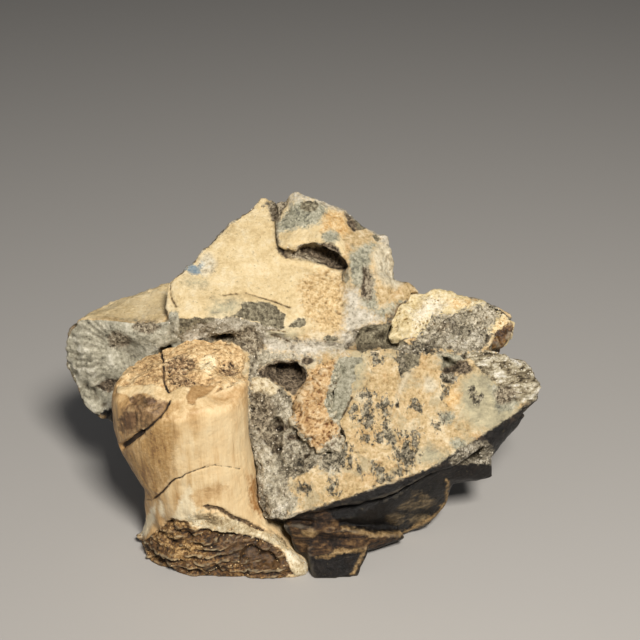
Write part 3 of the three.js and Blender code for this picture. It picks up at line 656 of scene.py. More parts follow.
def shell_ripples(p):
    """Ribs and rings that spread from the point where the left end was struck."""
    dx, dz = p[:, 0] - STRUCK_AT[0], p[:, 2] - STRUCK_AT[1]
    reach = np.hypot(dx, dz)
    turn = np.arctan2(dz, dx)
    warp = fractal(p, 9, 3, seed=31)
    left = smooth_step(-2, -11, dx)
    rings = np.sin(reach * 1.3 + 3.0 * warp) * (0.35 + 0.65 * smooth_step(2, 9, dx))
    ribs = np.sin(turn * 34 + 6.0 * warp) * smooth_step(5, 13, reach) * left
    chips = broken(p, 11, 34) + (0.3 + 0.5 * left) * broken(p, 4.5, 35)
    return 0.15 * rings + 0.3 * ribs + 0.9 * chips - 1.7 * (1 - smooth_step(1, 7, reach))


def shape_stone(skin, relief):
    """Gives the stone its relief, and paints its zones."""
    skin.points = skin.spread(skin.points, 6)
    normals = skin.normals(30)
    p = skin.points
    zone = zone_fields(p, normals)
    mask = {name: inside(field) for name, field in zone.items()}
    bare = np.clip(1 - mask["coat"] - mask["shell"], 0, 1)
    gritty = mask["granular"] + mask["layered"] + mask["ledge"] + 0.7 * mask["slab"] + 0.6 * mask["porous"]
    gritty = gritty + 0.5 * mask["frost"] - 0.8 * mask["nodule"]
    rough = np.clip(bare + gritty + 0.5 * mask["blue"] + 0.5 * mask["pale"] + 0.5 * mask["olive"], 0, 1)
    rough *= 1 - 0.85 * np.maximum(mask["soot"], mask["gloss"])
    # facets: sharp and deep where the stone is rough, broad and shallow under the coat
    height = rough * (0.95 * broken(p, 6.5, 3) + 0.55 * broken(p, 2.7, 4) + 0.28 * fractal(p, 1.5, 2, 0.6, 8))
    height += (1 - rough) * (0.45 * broken(p, 8, 7) + 0.14 * broken(p, 2.4, 13)
                             + 0.06 * fractal(p, 1.3, 2, 0.6, 12))
    height += 0.45 * fractal(p, 14, 4, 0.5, 11)
    height += mask["shell"] * shell_ripples(p)
    # where the coat has flaked off, the stone lies lower
    flaked = np.maximum.reduce([mask[name] for name in ("olive", "wedge", "slab", "granular")])
    flaked = flaked - mask["nodule"]
    height -= 0.35 * flaked + 0.9 * inside(zone["dark"], 1.2) + 0.6 * inside(zone["shade"], 1.0)
    # pits of spongy places and of the worn coat
    pits = smooth_step(0.05, 0.5, fractal(p, 1.7, 2, seed=70))
    height -= (mask["spongy"] + 1.6 * mask["porous"]) * 0.35 * pits
    height -= 0.45 * mask["speckle"] * smooth_step(-0.1, 0.15, fractal(p, 2.6, 2, seed=9))
    # thin beds, which dip a little to the right
    beds = np.stack([p[:, 0] / 7, p[:, 1] / 5, p[:, 2] + 0.18 * p[:, 0]], 1)
    height += mask["layered"] * 0.7 * fractal(beds, 1.0, 2, 0.6, 21)
    height += mask["brown"] * 0.5 * fractal(beds, 2.6, 3, 0.6, 22)
    holes = smooth_step(0.1, 0.5, fractal(p, 3.2, 3, 0.6, 16))
    height += mask["granular"] * (0.6 * broken(p, 1.9, 15) - 0.5 * holes)
    height += 0.35 * mask["rim"] + along_marks(p, STONE_MARKS)
    height *= relief * smooth_step(0.2, 2.5, p[:, 2])  # flat where it rests
    skin.points = p + height[:, None] * normals
    near = skin.spread(skin.points, 10)
    far = skin.spread(near, 90)
    skin.write()
    skin.paint_zones(zone, (*STONE_PATCHES, "crack", "coat"), normals @ LEAN[2] > -0.1)
    dull = 0.15 * bare * (1 - mask["soot"]) * (1 - mask["gloss"])
    grain = np.clip(gritty + 0.1 * mask["white"] + dull, 0, 1)
    skin.paint("grain_rate", grain * (1 - mask["dark"]) * (1 - mask["porous"]) * (1 - mask["nodule"]))
    skin.paint_depth("hollow", near, normals)
    skin.paint_depth("recess", far, normals)


# ------------------------------------------------------------------ the limb bone
# The middle of the limb bone: (height, x, y) in millimetres.
LIMB_AXIS = [(-3, -25.7, -24.9), (14, -29.4, -25.4), (28, -32.4, -26.2), (43, -36.2, -25.4),
             (64, -35.8, -25.2)]
# The patches of the limb bone, in the same way as the stone's.
LIMB_PATCHES = {
    "top": [
        (35, 64, [(-55.5, 40.5), (-53, 43.5), (-49, 48), (-44.5, 51.5), (-37.5, 53.5), (-30, 54.5),
         (-22.5, 54), (-18.5, 52), (-16, 49), (-16, 41.5), (-18, 42), (-25.5, 39), (-24, 41), (-26.5, 42),
         (-28, 41), (-30, 42), (-33.5, 41), (-38, 39.5), (-41.5, 41), (-44, 41.5)]),
    ],
    "lip": [
        (53, 67, [(-55.5, 41), (-44, 41.5), (-41.5, 41), (-38, 39.5), (-34, 41), (-33, 38.5), (-35, 37),
         (-38, 36.5), (-42.5, 37.5), (-45, 39), (-47.5, 39), (-50, 37.5), (-54.5, 39)]),
    ],
    "crumb": [
        (40, 58, oval(-28, 47.7, 2.6, 2.9)),
        (51, 63, [(-23, 41.5), (-18, 43), (-16.5, 42), (-18.5, 41), (-23, 39.5)]),
    ],
    "burrow": [
        (41, 58, oval(-36.5, 47.5, 4.7, 2.9)),
        (52, 64, oval(-35.3, 42.8, 3.9, 1.5, -8)),
        (43, 57, oval(-21.4, 46, 3, 2)),
    ],
    "flake": [
        (55, 68, [(-32.5, 41.5), (-26, 41.5), (-25, 41), (-28, 38), (-30, 37.5), (-30.5, 36), (-32.5, 36),
         (-33.5, 38)]),
    ],
    "tan": [
        (51, 66, [(-26.5, 38), (-22.5, 40), (-18.5, 41.5), (-16, 40.5), (-16.5, 35.5), (-25, 36)]),
    ],
    "bruise": [
        (53, 69, [(-50, 37.5), (-47.5, 39), (-42, 37.5), (-38, 36.5), (-41, 32), (-44, 29.5), (-47, 27.5),
         (-51.5, 26), (-54.5, 27), (-55, 30.5), (-52, 33.5)]),
    ],
    "scar": [
        (55, 67, [(-54, 31), (-51.5, 33), (-48.5, 33.5), (-48, 31), (-49.5, 28), (-52.5, 27.5)]),
        (58, 69, [(-50, 37), (-49, 37.5), (-46, 33), (-46.5, 32), (-48.5, 35)]),
        (60, 69, oval(-44, 37, 2, 1.3)),
    ],
    "stain": [
        (32, 45, [(-16, 12.5), (-14, 11), (-13, -1), (-15.5, 2), (-16.5, 8)]),
    ],
    "smudge": [
        (46, 55, [(-33.5, 7), (-30.5, 9.5), (-26, 11), (-22, 10), (-29, 5), (-32, 4)]),
    ],
    "tawny": [
        (42, 70, [(-41, 34), (-39, 35), (-37, 31.5), (-37, 24), (-37.5, 17.5), (-39.5, 11), (-43, 7),
         (-48, 2.5), (-49.5, 5), (-46, 10.5), (-46.5, 15.5), (-50.5, 23), (-45.5, 27)]),
        (40, 58, [(-53.5, 20.5), (-50, 21), (-46.5, 15.5), (-46, 10), (-50, 4.5), (-51.5, 8.5)]),
    ],
    "pale": [
        (41, 55, [(-40, -1.5), (-38, 3.5), (-33.5, 11), (-32.5, 6), (-31.5, 3), (-34, 0), (-36.5, -1.5)]),
        (20, 43, [(-52.5, -11), (-51.5, -5.5), (-49, -1.5), (-45, 4), (-46, -2), (-48.5, -6)]),
        (37, 49, oval(-43, 2.2, 0.9, 3)),
    ],
    "groove": [
        (33, 52, [(-30.5, 3.5), (-28.5, 4.2), (-24, 3), (-20.5, 0), (-11, -5.2), (-12.5, -5.5), (-17, -3.3),
         (-21.5, -0.8), (-25, 2)]),
    ],
    "rim": [
        (31, 51, [(-36, 0), (-31, 2.5), (-26.5, 1.5), (-20.5, -0.5), (-11.5, -5.5), (-7, -8.5), (-2.5, -13),
         (1.5, -16), (3, -18), (1, -21), (-2.5, -19.5), (-4, -15), (-7, -10.5), (-12, -7.5), (-17.5, -6.5),
         (-29.5, -4), (-34, -2.5)]),
    ],
    "foot": [
        (28, 47, [(-54.5, -12), (-48, -8.5), (-44, -4.5), (-40, -1), (-36, -1), (-34, -2.5), (-29.5, -4),
         (-17.5, -6.5), (-12, -7.5), (-7, -10.5), (-4, -15), (-2.5, -19.5), (-7, -21), (-32, -23),
         (-48.5, -22), (-54, -16.5)]),
    ],
    "bowl": [
        (32, 45, [(-22, -6.5), (-12.5, -8), (-8, -10.5), (-5, -15), (-5, -17), (-17.5, -16.5), (-23, -13.5),
         (-24.5, -9)]),
    ],
}
# The back of the bone's upper end, up to the stone, and a swelling on the shaft's left: each block's corners,
# in millimetres.
LIMB_PLUGS = [
    [(-43, -18, 66), (-36.6, -19.5, 67.3), (-29.2, -17.7, 67.4), (-21.8, -16.7, 66.4), (-17.4, -14.5, 64),
     (-45.5, -9.6, 64.8), (-37.7, -8.4, 67.7), (-29.9, -8.2, 68.9), (-22.3, -8.2, 67.6),
     (-18.7, -9.9, 66.4), (-16.6, -12, 63.6), (-43, -8, 59), (-18, -9, 59), (-42, -20, 60), (-18, -18, 60)],
    [(-48.9, -32, 26), (-48.4, -33, 32), (-47.9, -32, 38), (-49.8, -28, 18), (-50.2, -26, 9),
     (-43, -37, 34), (-43.5, -37, 24), (-44.5, -34.5, 15), (-43, -25, 36), (-43, -25, 9)],
]
# Cracks: (depth, radius, [points]) in millimetres.
LIMB_CRACKS = [
    (-1.3, 0.42, [(-44.3, -9, 65), (-42.7, -15.5, 66.3), (-41.4, -22.3, 67), (-40.4, -28.4, 67),
     (-38.6, -34, 65.2)]),
    (-0.7, 0.30, [(-38.1, -36.5, 63.6), (-38.9, -38.6, 62.5), (-40.7, -41.3, 61.2)]),
    (-1.0, 0.40, [(-40.7, -41.3, 61.2), (-43.9, -41.1, 57.5), (-46.9, -39.8, 54.1)]),
    (-1.8, 0.85, [(-46.9, -39.8, 54.1), (-49, -38.6, 51.8), (-51.6, -36.2, 48.3), (-54.6, -32, 43.8)]),
    (-0.7, 0.34, [(-49.5, -31, 22.5), (-46.8, -34.5, 25), (-43.7, -37.5, 29.4), (-41.2, -39, 33),
     (-39.4, -39.8, 35.8), (-37.8, -40.3, 37.7), (-36.2, -40.5, 38.4)]),
    (-0.45, 0.24, [(-36.2, -40.5, 38.4), (-34.3, -40.6, 40.1), (-31.6, -40.4, 41.1), (-28.6, -39.9, 42)]),
    (-0.3, 0.18, [(-28.6, -39.9, 42), (-25.7, -38.8, 42.2), (-22, -36.7, 40), (-18.6, -33.8, 36.9)]),
]


def limb_axis(z):
    """The x and y of the bone's middle at each height."""
    heights, xs, ys = zip(*LIMB_AXIS)
    return np.interp(z, heights, xs), np.interp(z, heights, ys)


def limb_fields(p):
    """Signed distance in millimetres to each of the limb bone's zones, negative inside."""
    shift = 0.4 * drift(p, 2.4, 80)
    fields = {name: outline_distance(p + shift, outlines) for name, outlines in LIMB_PATCHES.items()}
    x, y, z = p.T
    wander = fractal(p, 5, 3, seed=84)
    ax, ay = limb_axis(z)
    reach = np.hypot((x - ax) / 20.0, (y - ay) / 19.0)
    top = np.maximum.reduce([(reach - 1.0) * 16 + wander, 62 + wander - z, -24 - y])
    foot = np.maximum(z - 16 + 0.03 * (x + 31.2) ** 2 + wander, -26 - y)
    fields["top"] = np.minimum(fields["top"], top)
    fields["foot"] = np.minimum(fields["foot"], foot)
    cracks = [(0.9 * radius, path) for _depth, radius, path in LIMB_CRACKS]
    fields["crack"] = stroke_distance(p + 0.3 * shift, cracks)
    return kept_in_range(fields)


def shape_limb(skin, relief):
    """Gives the limb bone its streaked cortex, broken ends and cracks."""
    skin.points = skin.spread(skin.points, 10)
    normals = skin.normals(12)
    p = skin.points
    zone = limb_fields(p)
    mask = {name: inside(field, 0.35) for name, field in zone.items()}
    open_end = np.clip(mask["top"] + mask["foot"] - 0.8 * mask["bowl"], 0, 1)
    x, y, z = p.T
    ax, ay = limb_axis(z)
    # the cortex is streaked along the bone
    stretched = np.stack([x - ax, y - ay, z / 9], 1)
    height = (1 - open_end) * (0.20 * fractal(stretched, 3.0, 3, 0.6, 40) + 0.35 * fractal(p, 11, 3, 0.5, 41))
    # the broken ends: facets, thin layers and open pores
    layers = np.stack([x / 4, y / 2, z - 0.12 * x], 1)
    height += mask["top"] * (0.9 * fractal(p, 7, 3, 0.6, 42) + 0.5 * fractal(layers, 1.3, 2, 0.6, 51) - 0.7)
    foot = 1.4 * broken(p, 5.5, 43) + 0.7 * broken(p, 2.2, 48) + 2.0 * fractal(layers, 2.6, 3, 0.6, 52) - 0.3
    height += mask["foot"] * (1 - 0.5 * mask["bowl"]) * foot
    porous = np.clip(mask["burrow"] + 0.35 * mask["top"] + 0.3 * mask["foot"], 0, 1)
    height -= porous * 1.5 * smooth_step(0.12, 0.45, fractal(layers, 0.9, 2, 0.6, 44))
    height -= 0.3 * smooth_step(3, -6, zone["bowl"])
    # what stands proud of the cortex and what has come off it
    height += 0.35 * mask["lip"] + 0.5 * mask["crumb"] * (0.6 + fractal(p, 1.6, 2, seed=53))
    height -= 0.35 * mask["flake"] + 0.12 * mask["tan"] + 0.9 * mask["groove"]
    bruise = 0.35 * fractal(stretched @ TURN.T, 1.6, 2, 0.6, 45) - 0.3
    height += mask["bruise"] * bruise - 0.35 * mask["scar"]
    height += mask["rim"] * (0.35 + 0.45 * fractal(p, 3, 3, seed=46))
    height += along_marks(p, LIMB_CRACKS)
    height += 0.05 * fractal(p, 1.5, 2, 0.6, 47)
    height *= relief * smooth_step(0.2, 2.0, z)  # flat where it rests
    skin.points = p + height[:, None] * normals
    smoothed = skin.spread(skin.points, 8)
    skin.write()
    skin.paint_zones(zone, (*LIMB_PATCHES, "crack"))
    skin.paint("grain_rate", np.clip(0.5 * mask["top"] + 0.4 * mask["foot"] + 0.6 * mask["rim"], 0, 1))
    skin.paint_depth("hollow", smoothed, normals)


# ------------------------------------------------------------------ the two smaller bones
# The patches of both bones, in the same way as the stone's.
SMALL_PATCHES = {
    "wedge": [
        (36, 46, [(9, 43), (11, 47.5), (13.5, 48), (13.5, 35), (12.5, 29.5), (11.5, 27), (8, 31.5),
         (6.5, 34), (8, 38)]),
    ],
    "stone": [
        (37, 47, [(7, 22), (9, 24), (11.5, 25.3), (11.7, 28.3), (10, 31), (12.6, 32), (15.7, 26.5),
         (15.7, 16.7), (3.3, 16.6), (4, 19.4), (5.2, 20.6)]),
        (36, 46, [(-6, 42.5), (-3, 39.5), (-2, 37), (-3, 34.5), (-2, 31.5), (0.5, 26), (3, 24), (1.5, 21.5),
         (-1.5, 19.5), (-5.5, 23.5)]),
        (26, 41, [(41, 61.5), (43, 62.4), (47, 62), (50, 63.4), (55.5, 65), (62, 65.6), (63.3, 63),
         (57.4, 53.6), (56, 50.5), (50, 50.5), (34.3, 53.3), (37.6, 56.4)]),
    ],
    "white": [
        (26, 37, [(39.5, 67), (44, 68), (46, 65.5), (44, 63), (40.5, 62), (36, 58), (35, 60.5)]),
        (34, 41, oval(47.3, 52.6, 1.8, 1.3)),
    ],
    "warm": [
        (27, 39, [(62.5, 61), (65.5, 61.5), (67, 60), (62, 56.5), (60, 55), (58.5, 51.5), (57, 52.5),
         (59.5, 56)]),
        (25, 34, [(46, 67.5), (54, 67), (53.5, 64.5), (49, 64), (46, 65.5)]),
    ],
    "end": [
        (27, 39, [(66.5, 60), (67, 57.5), (64, 51.5), (61, 51), (58.5, 52.5), (58.5, 54), (60.5, 56)]),
        (24, 33, oval(65, 62.8, 1.7, 0.9)),
    ],
}


SPONGE_PORE = 0.9  # millimetres


def shape_spongy(skin, relief, seed, growth):
    """Broken bone: lumps, thin walls and open pores.

    The growth swells it by as many millimetres, and tears its border.
    """
    skin.points = skin.spread(skin.points, 8)
    normals = skin.normals(10)
    p = skin.points
    porous = smooth_step(-0.2, 0.4, fractal(p, 6, 2, seed=seed + 9))
    height = 0.7 * fractal(p, 6, 3, 0.6, seed) + 0.9 * broken(p, 5, seed + 1) + 0.4 * broken(p, 1.8, seed + 4)
    height -= porous * 0.5 * smooth_step(0.15, 0.45, fractal(p, SPONGE_PORE, 2, 0.6, seed + 2))
    height += growth * (0.9 * broken(p, 3.4, seed + 12) + 1.1 * fractal(p, 2.6, 3, 0.6, seed + 13))
    skin.points = p + (relief * height + growth)[:, None] * normals
    smoothed = skin.spread(skin.points, 8)
    skin.write()
    skin.paint_depth("hollow", smoothed, normals)
    frayed = p + 0.35 * drift(p, 2.4, seed + 5)
    for name, outlines in SMALL_PATCHES.items():
        skin.paint(name, outline_distance(frayed, outlines))


# ------------------------------------------------------------------ materials
def linear(hex_colour):
    """An sRGB hex colour as linear red, green, blue and alpha."""
    parts = [int(hex_colour[i:i + 2], 16) / 255 for i in (1, 3, 5)]
    return [c / 12.92 if c <= 0.04045 else ((c + 0.055) / 1.055) ** 2.4 for c in parts] + [1.0]


def add(tree, kind, inputs=None, **settings):
    """Adds a node with its settings, and sets or links its inputs by name or number."""
    node = tree.nodes.new(kind)
    for key, value in settings.items():
        setattr(node, key, value)
    for key, value in (inputs or {}).items():
        if isinstance(value, bpy.types.NodeSocket):
            tree.links.new(value, node.inputs[key])
        else:
            node.inputs[key].default_value = value
    return node


VECTOR = "ShaderNodeVectorMath"
RAMP_START, RAMP_WIDTH = 0.2, 0.6  # the part of a pattern's range that most of its values lie in


class Recipe:
    """A material under construction: its patterns in millimetres, and the layers laid over each other."""

    def __init__(self, name, base_roughness):
        self.material = bpy.data.materials.new(name)
        self.material.use_nodes = True
        self.tree = self.material.node_tree
        self.place = add(self.tree, "ShaderNodeTexCoord").outputs["Object"]
        self.roughness = base_roughness
        self.grit = 0.3
        self.patterns = {}

    def maths(self, operation, *values, kind="ShaderNodeMath"):
        """The result of one calculation on numbers, or on vectors with VECTOR as its kind."""
        return add(self.tree, kind, dict(enumerate(values)), operation=operation).outputs[0]

    def noise(self, inputs):
        """The outputs of a noise texture."""
        return add(self.tree, "ShaderNodeTexNoise", inputs).outputs

    def keep_parts(self, name, vector):
        """Keeps a vector's three parts as patterns whose names end in _a, _b and _c."""
        parts = add(self.tree, "ShaderNodeSeparateXYZ", {0: vector}).outputs
        self.patterns.update({name + "_" + letter: part for letter, part in zip("abc", parts)})

    def spots(self, name, size_mm, detail=5.0, roughness=0.6, stretch=(1, 1, 1), warp=0.0):
        """Adds a pattern of soft spots: three independent ones, each from 0 to 1."""
        place = self.maths("MULTIPLY", self.place, stretch, kind=VECTOR)
        spots = self.noise({"Vector": place, "Scale": 1 / (size_mm * MM), "Detail": detail,
                            "Roughness": roughness, "Distortion": warp})["Color"]
        # most of the noise lies between a third and two thirds
        self.keep_parts(name, self.maths("MULTIPLY_ADD", spots, (3.0,) * 3, (-1.0,) * 3, kind=VECTOR))

    def crystals(self, name, size_mm, ragged_mm=0.0):
        """Adds a pattern of angular grains, each of one value from 0 to 1, with ragged edges if asked."""
        place = self.place
        if ragged_mm:
            bend = self.noise({"Vector": place, "Scale": 0.8 / (size_mm * MM), "Detail": 3.0})["Color"]
            place = self.maths("MULTIPLY_ADD", bend, (2 * ragged_mm * MM,) * 3, place, kind=VECTOR)
        grains = add(self.tree, "ShaderNodeTexVoronoi", {"Vector": place, "Scale": 1 / (size_mm * MM)})
        self.grains = grains.outputs["Color"]
        self.keep_parts(name, self.grains)

    def rays(self, name, centre_mm, count, length_mm):
        """Adds a pattern of streaks that run away from a point in the XZ plane."""
        parts = add(self.tree, "ShaderNodeSeparateXYZ", {0: self.place}).outputs
        x = self.maths("SUBTRACT", parts[0], centre_mm[0] * MM)
        z = self.maths("SUBTRACT", parts[2], centre_mm[1] * MM)
        flat = add(self.tree, "ShaderNodeCombineXYZ", {0: x, 1: z}).outputs[0]
        reach = add(self.tree, VECTOR, {0: flat}, operation="LENGTH").outputs["Value"]
        turns = self.maths("MULTIPLY", self.maths("ARCTAN2", z, x), count)
        lengths = self.maths("MULTIPLY", reach, 1 / (length_mm * MM))
        where = add(self.tree, "ShaderNodeCombineXYZ", {0: turns, 1: lengths}).outputs[0]
        streaks = self.noise({"Vector": where, "Scale": 1.0, "Detail": 4.0, "Distortion": 0.4})["Fac"]
        spread = add(self.tree, "ShaderNodeMapRange", {"Value": streaks, "From Min": 0.3, "From Max": 0.7})
        self.patterns[name + "_a"] = spread.outputs["Result"]

    def painted(self, name):
        """What the skin carries under this name: for a zone, the distance in millimetres, below 0 inside."""
        return add(self.tree, "ShaderNodeAttribute", attribute_name=name).outputs["Fac"]

    def blended(self, amount, below, above):
        """The number above, laid over the one below by this amount."""
        return add(self.tree, "ShaderNodeMix", {0: amount, 2: below, 3: above}).outputs[0]

    def mixed(self, shares):
        """One pattern from shares of several: {"fine_a": 0.5, "broad_b": 0.5}."""
        total = 0.0
        for name, share in shares.items():
            total = self.maths("MULTIPLY_ADD", self.patterns[name], share, total)
        return total

    def zone(self, name, shares, reach_mm, soft_mm, offset_mm=0.0):
        """Where a painted zone lies, with an edge that the patterns make ragged."""
        shift = self.maths("MULTIPLY_ADD", self.mixed(shares), 2 * reach_mm, offset_mm - reach_mm)
        return self.maths("ADD", self.painted(name), shift), soft_mm, -soft_mm, 1.0

    def specks(self, name, shares, rare, rate):
        """Where a pattern passes a limit that falls towards and inside a painted zone."""
        limit = self.maths("MULTIPLY_ADD", self.painted(name), rate, rare)
        return self.maths("SUBTRACT", self.mixed(shares), limit), -0.02, 0.04, 1.0

    def lay(self, where, hexes, shares=None, roughness=None, grit=None, blend="MIX"):
        """Lays colours over what is there, with their roughness and their share of loose grains.

        Each row of `where` is (value, start, end, top): nothing up to the start, and top from the end on.
        The colours run from dark to light along the pattern that the shares make.
        """
        amount = 1.0
        for value, start, end, top in where:
            row = add(self.tree, "ShaderNodeMapRange", {"Value": value, "From Min": start, "From Max": end,
                                                        "To Max": top}).outputs["Result"]
            amount = self.maths("MULTIPLY", row, amount)
        colour = linear(hexes[0])
        if shares:
            ramp = add(self.tree, "ShaderNodeValToRGB", {"Fac": self.mixed(shares)})
            stops = ramp.color_ramp.elements
            while len(stops) < len(hexes):
                stops.new(0.5)
            for k, shade in enumerate(hexes):
                stops[k].position = RAMP_START + RAMP_WIDTH * k / (len(hexes) - 1)
                stops[k].color = linear(shade)
            colour = ramp.outputs["Color"]
        if not where:
            self.colour = colour
            return
        self.colour = add(self.tree, "ShaderNodeMix", {0: amount, 6: self.colour, 7: colour},
                          data_type="RGBA", blend_type=blend).outputs[2]
        if roughness is not None:
            self.roughness = self.blended(amount, self.roughness, roughness)
        if grit is not None:
            self.grit = self.blended(amount, self.grit, grit)

    def finish(self, height, depth_mm, facets=0.0, specular=0.5):
        """Joins everything to the shader, with a bump and the tilted faces of the grains."""
        bump = {"Height": height, "Distance": depth_mm * MM, "Strength": 1.0}
        normal = add(self.tree, "ShaderNodeBump", bump).outputs["Normal"]
        if facets:
            tilt = self.maths("SUBTRACT", self.grains, (0.5,) * 3, kind=VECTOR)
            share = self.maths("MULTIPLY", self.grit, facets)
            tilt = add(self.tree, VECTOR, {0: tilt, "Scale": share}, operation="SCALE").outputs[0]
            normal = self.maths("ADD", normal, tilt, kind=VECTOR)
            normal = self.maths("NORMALIZE", normal, kind=VECTOR)
        shader = self.tree.nodes["Principled BSDF"]
        shader.inputs["Specular IOR Level"].default_value = specular
        for value, socket in ((self.colour, "Base Color"), (self.roughness, "Roughness"), (normal, "Normal")):
            if isinstance(value, bpy.types.NodeSocket):
                self.tree.links.new(value, shader.inputs[socket])
            else:
                shader.inputs[socket].default_value = value
        return self.material


# The stone's zones, later ones over earlier ones: colours from dark to light, shares of the patterns,
# roughness, grit, and the edge's reach and softness in millimetres.
STONE_LAYERS = [
    ("coat", ["#a58a5d", "#c8ad7d", "#dac093", "#ead6ae"], {"broad_a": 0.35, "fine_a": 0.65}, 0.62, 0.25,
     (2.0, 0.3)),
    ("cream", ["#d3ba8a", "#e2ca99", "#ead4a6", "#f1dfb7"], {"broad_b": 0.5, "fine_b": 0.5}, 0.55, 0.1,
     (0.8, 0.4)),
    ("wash", ["#958d74", "#b0a789", "#c3b997", "#d6cba6"], {"broad_c": 0.4, "fine_b": 0.3, "bed_b": 0.3},
     0.6, 0.15, (1.8, 1.8)),
    ("ochre", ["#bd8f55", "#dab276", "#e8c68f", "#f3daab"], {"broad_c": 0.3, "fine_c": 0.7}, 0.7, 0.3,
     (1.4, 1.0)),
    ("pale", ["#b3a588", "#d3c4a4", "#e4d8ba", "#f0e8d0"], {"broad_a": 0.3, "fine_b": 0.7}, 0.6, 0.4,
     (1.2, 0.9)),
    ("blue", ["#68665a", "#99967f", "#b7b29b", "#d5cfb6"], {"broad_a": 0.3, "fine_c": 0.4, "grain_a": 0.3},
     0.5, 0.5, (1.4, 0.7)),
    ("azure", ["#6d8292", "#8b9ba3", "#b0b6ae"], {"broad_a": 0.4, "fine_c": 0.6}, 0.55, 0.1, (1.0, 0.5)),
    ("wedge", ["#5b5845", "#928e78", "#b0ab95", "#cfc9b2"],
     {"broad_b": 0.35, "fine_c": 0.4, "grain_b": 0.25}, 0.5, 0.5, (0.5, 0.15)),
    ("slab", ["#51493a", "#958b75", "#b3a892", "#ddd4bf"], {"broad_b": 0.3, "fine_b": 0.3, "grain_b": 0.4},
     0.45, 0.9, (0.4, 0.15)),
    ("spongy", ["#a98a59", "#d2b27f", "#e4c794", "#f2dcae"], {"fine_c": 0.7, "grain_a": 0.3}, 0.75, 0.3,
     (2.0, 1.0)),
    ("porous", ["#8d6b40", "#c8a26d", "#e0be8c", "#f2d9ae"], {"fine_c": 0.6, "grain_a": 0.4}, 0.75, 0.5,
     (0.8, 0.3)),
    ("white", ["#948b79", "#c6bda8", "#dfd6c2", "#f4eddd"], {"fine_a": 0.45, "broad_b": 0.3, "bed_b": 0.25},
     0.6, 0.4, (2.2, 1.3)),
    ("olive", ["#4a4333", "#736a55", "#8f866d", "#b1a88d"], {"fine_b": 0.6, "grain_a": 0.4}, 0.55, 0.6,
     (0.5, 0.15)),
    ("shell", ["#646154", "#a6a08a", "#c8c2ab", "#e9e3cf"], {"broad_c": 0.45, "fine_a": 0.4, "ray_a": 0.15},
     0.4, 0.25, (0.5, 0.2)),
    # the underside: dark stone, with painted shade on what looks down
    ("soot", ["#0a0807", "#15110e", "#231d17", "#3b3025"], {"broad_b": 0.55, "fine_c": 0.45}, 0.45, 0.3,
     (0.8, 0.3)),
    ("brown", ["#1a120b", "#33251a", "#523b24", "#775b3a"], {"bed_a": 0.55, "fine_b": 0.45}, 0.65, 0.5,
     (0.8, 0.4)),
    ("gloss", ["#080706", "#110e0c", "#1f1a15"], {"broad_b": 0.5, "fine_c": 0.5}, 0.3, 0.05, (0.4, 0.2)),
    # arcs: brown streaks with painted sheen on the glossy black face
    ("arcs", ["#241c12", "#564832", "#8a7757"], {"bed_b": 0.6, "fine_a": 0.4}, 0.35, 0.1, (1.5, 0.9)),
    ("black", ["#080706", "#15110f", "#261f19"], {"broad_a": 0.5, "fine_c": 0.5}, 0.35, 0.2, (0.5, 0.2)),
    ("rim", ["#5f4a2d", "#957950", "#bfa274"], {"fine_a": 0.6, "bed_a": 0.4}, 0.6, 0.3, (0.8, 0.4)),
    ("granular", ["#2a251b", "#6a6150", "#a0967f", "#c7bea7", "#eae2cf"],
     {"broad_c": 0.35, "fine_b": 0.30, "grain_b": 0.35}, 0.5, 1.0, (1.4, 0.2)),
    ("frost", ["#7d7461", "#aea48c", "#cbc2aa", "#ece5d2"], {"broad_c": 0.2, "fine_b": 0.4, "grain_b": 0.4},
     0.5, 0.9, (2.0, 0.8)),
    ("ledge", ["#1c1812", "#574f40", "#988e79", "#ded6c2"], {"broad_c": 0.3, "fine_b": 0.3, "grain_b": 0.4},
     0.4, 1.0, (0.8, 0.2)),
    ("layered", ["#3a3122", "#7a6d53", "#b0a487", "#d8cfb5", "#f4eee0"],
     {"bed_a": 0.6, "fine_b": 0.3, "grain_b": 0.1}, 0.5, 0.6, (0.8, 0.25)),
    ("nodule", ["#b39d77", "#d8c69f", "#e8d9b6", "#f2e6c8"], {"fine_a": 1.0}, 0.6, 0.2, (0.8, 0.25)),
    ("shade", ["#4a4031", "#7d705b", "#a0937b", "#bdb197"], {"fine_a": 0.5, "grain_c": 0.5}, 0.55, 0.8,
     (0.9, 0.6)),
    # dark: painted shade in pits, crevices and the hollow under the overhang
    ("dark", ["#352b20", "#574a3a", "#796a55", "#9b8b74"], {"fine_a": 0.5, "grain_c": 0.5}, 0.65, 0.6,
     (0.7, 0.35)),
]
# Tints that run through the coat: the pattern, where it starts and ends, the colour, and how strong it is.
COAT_TINTS = [
    ("broad_b", 0.58, 0.85, "#cf9f62", 0.28),
    ("broad_c", 0.60, 0.85, "#aea78b", 0.5),
    ("fine_c", 0.68, 0.9, "#a8844f", 0.4),
    ("broad_a", 0.68, 0.95, "#f1e3c2", 0.5),
]


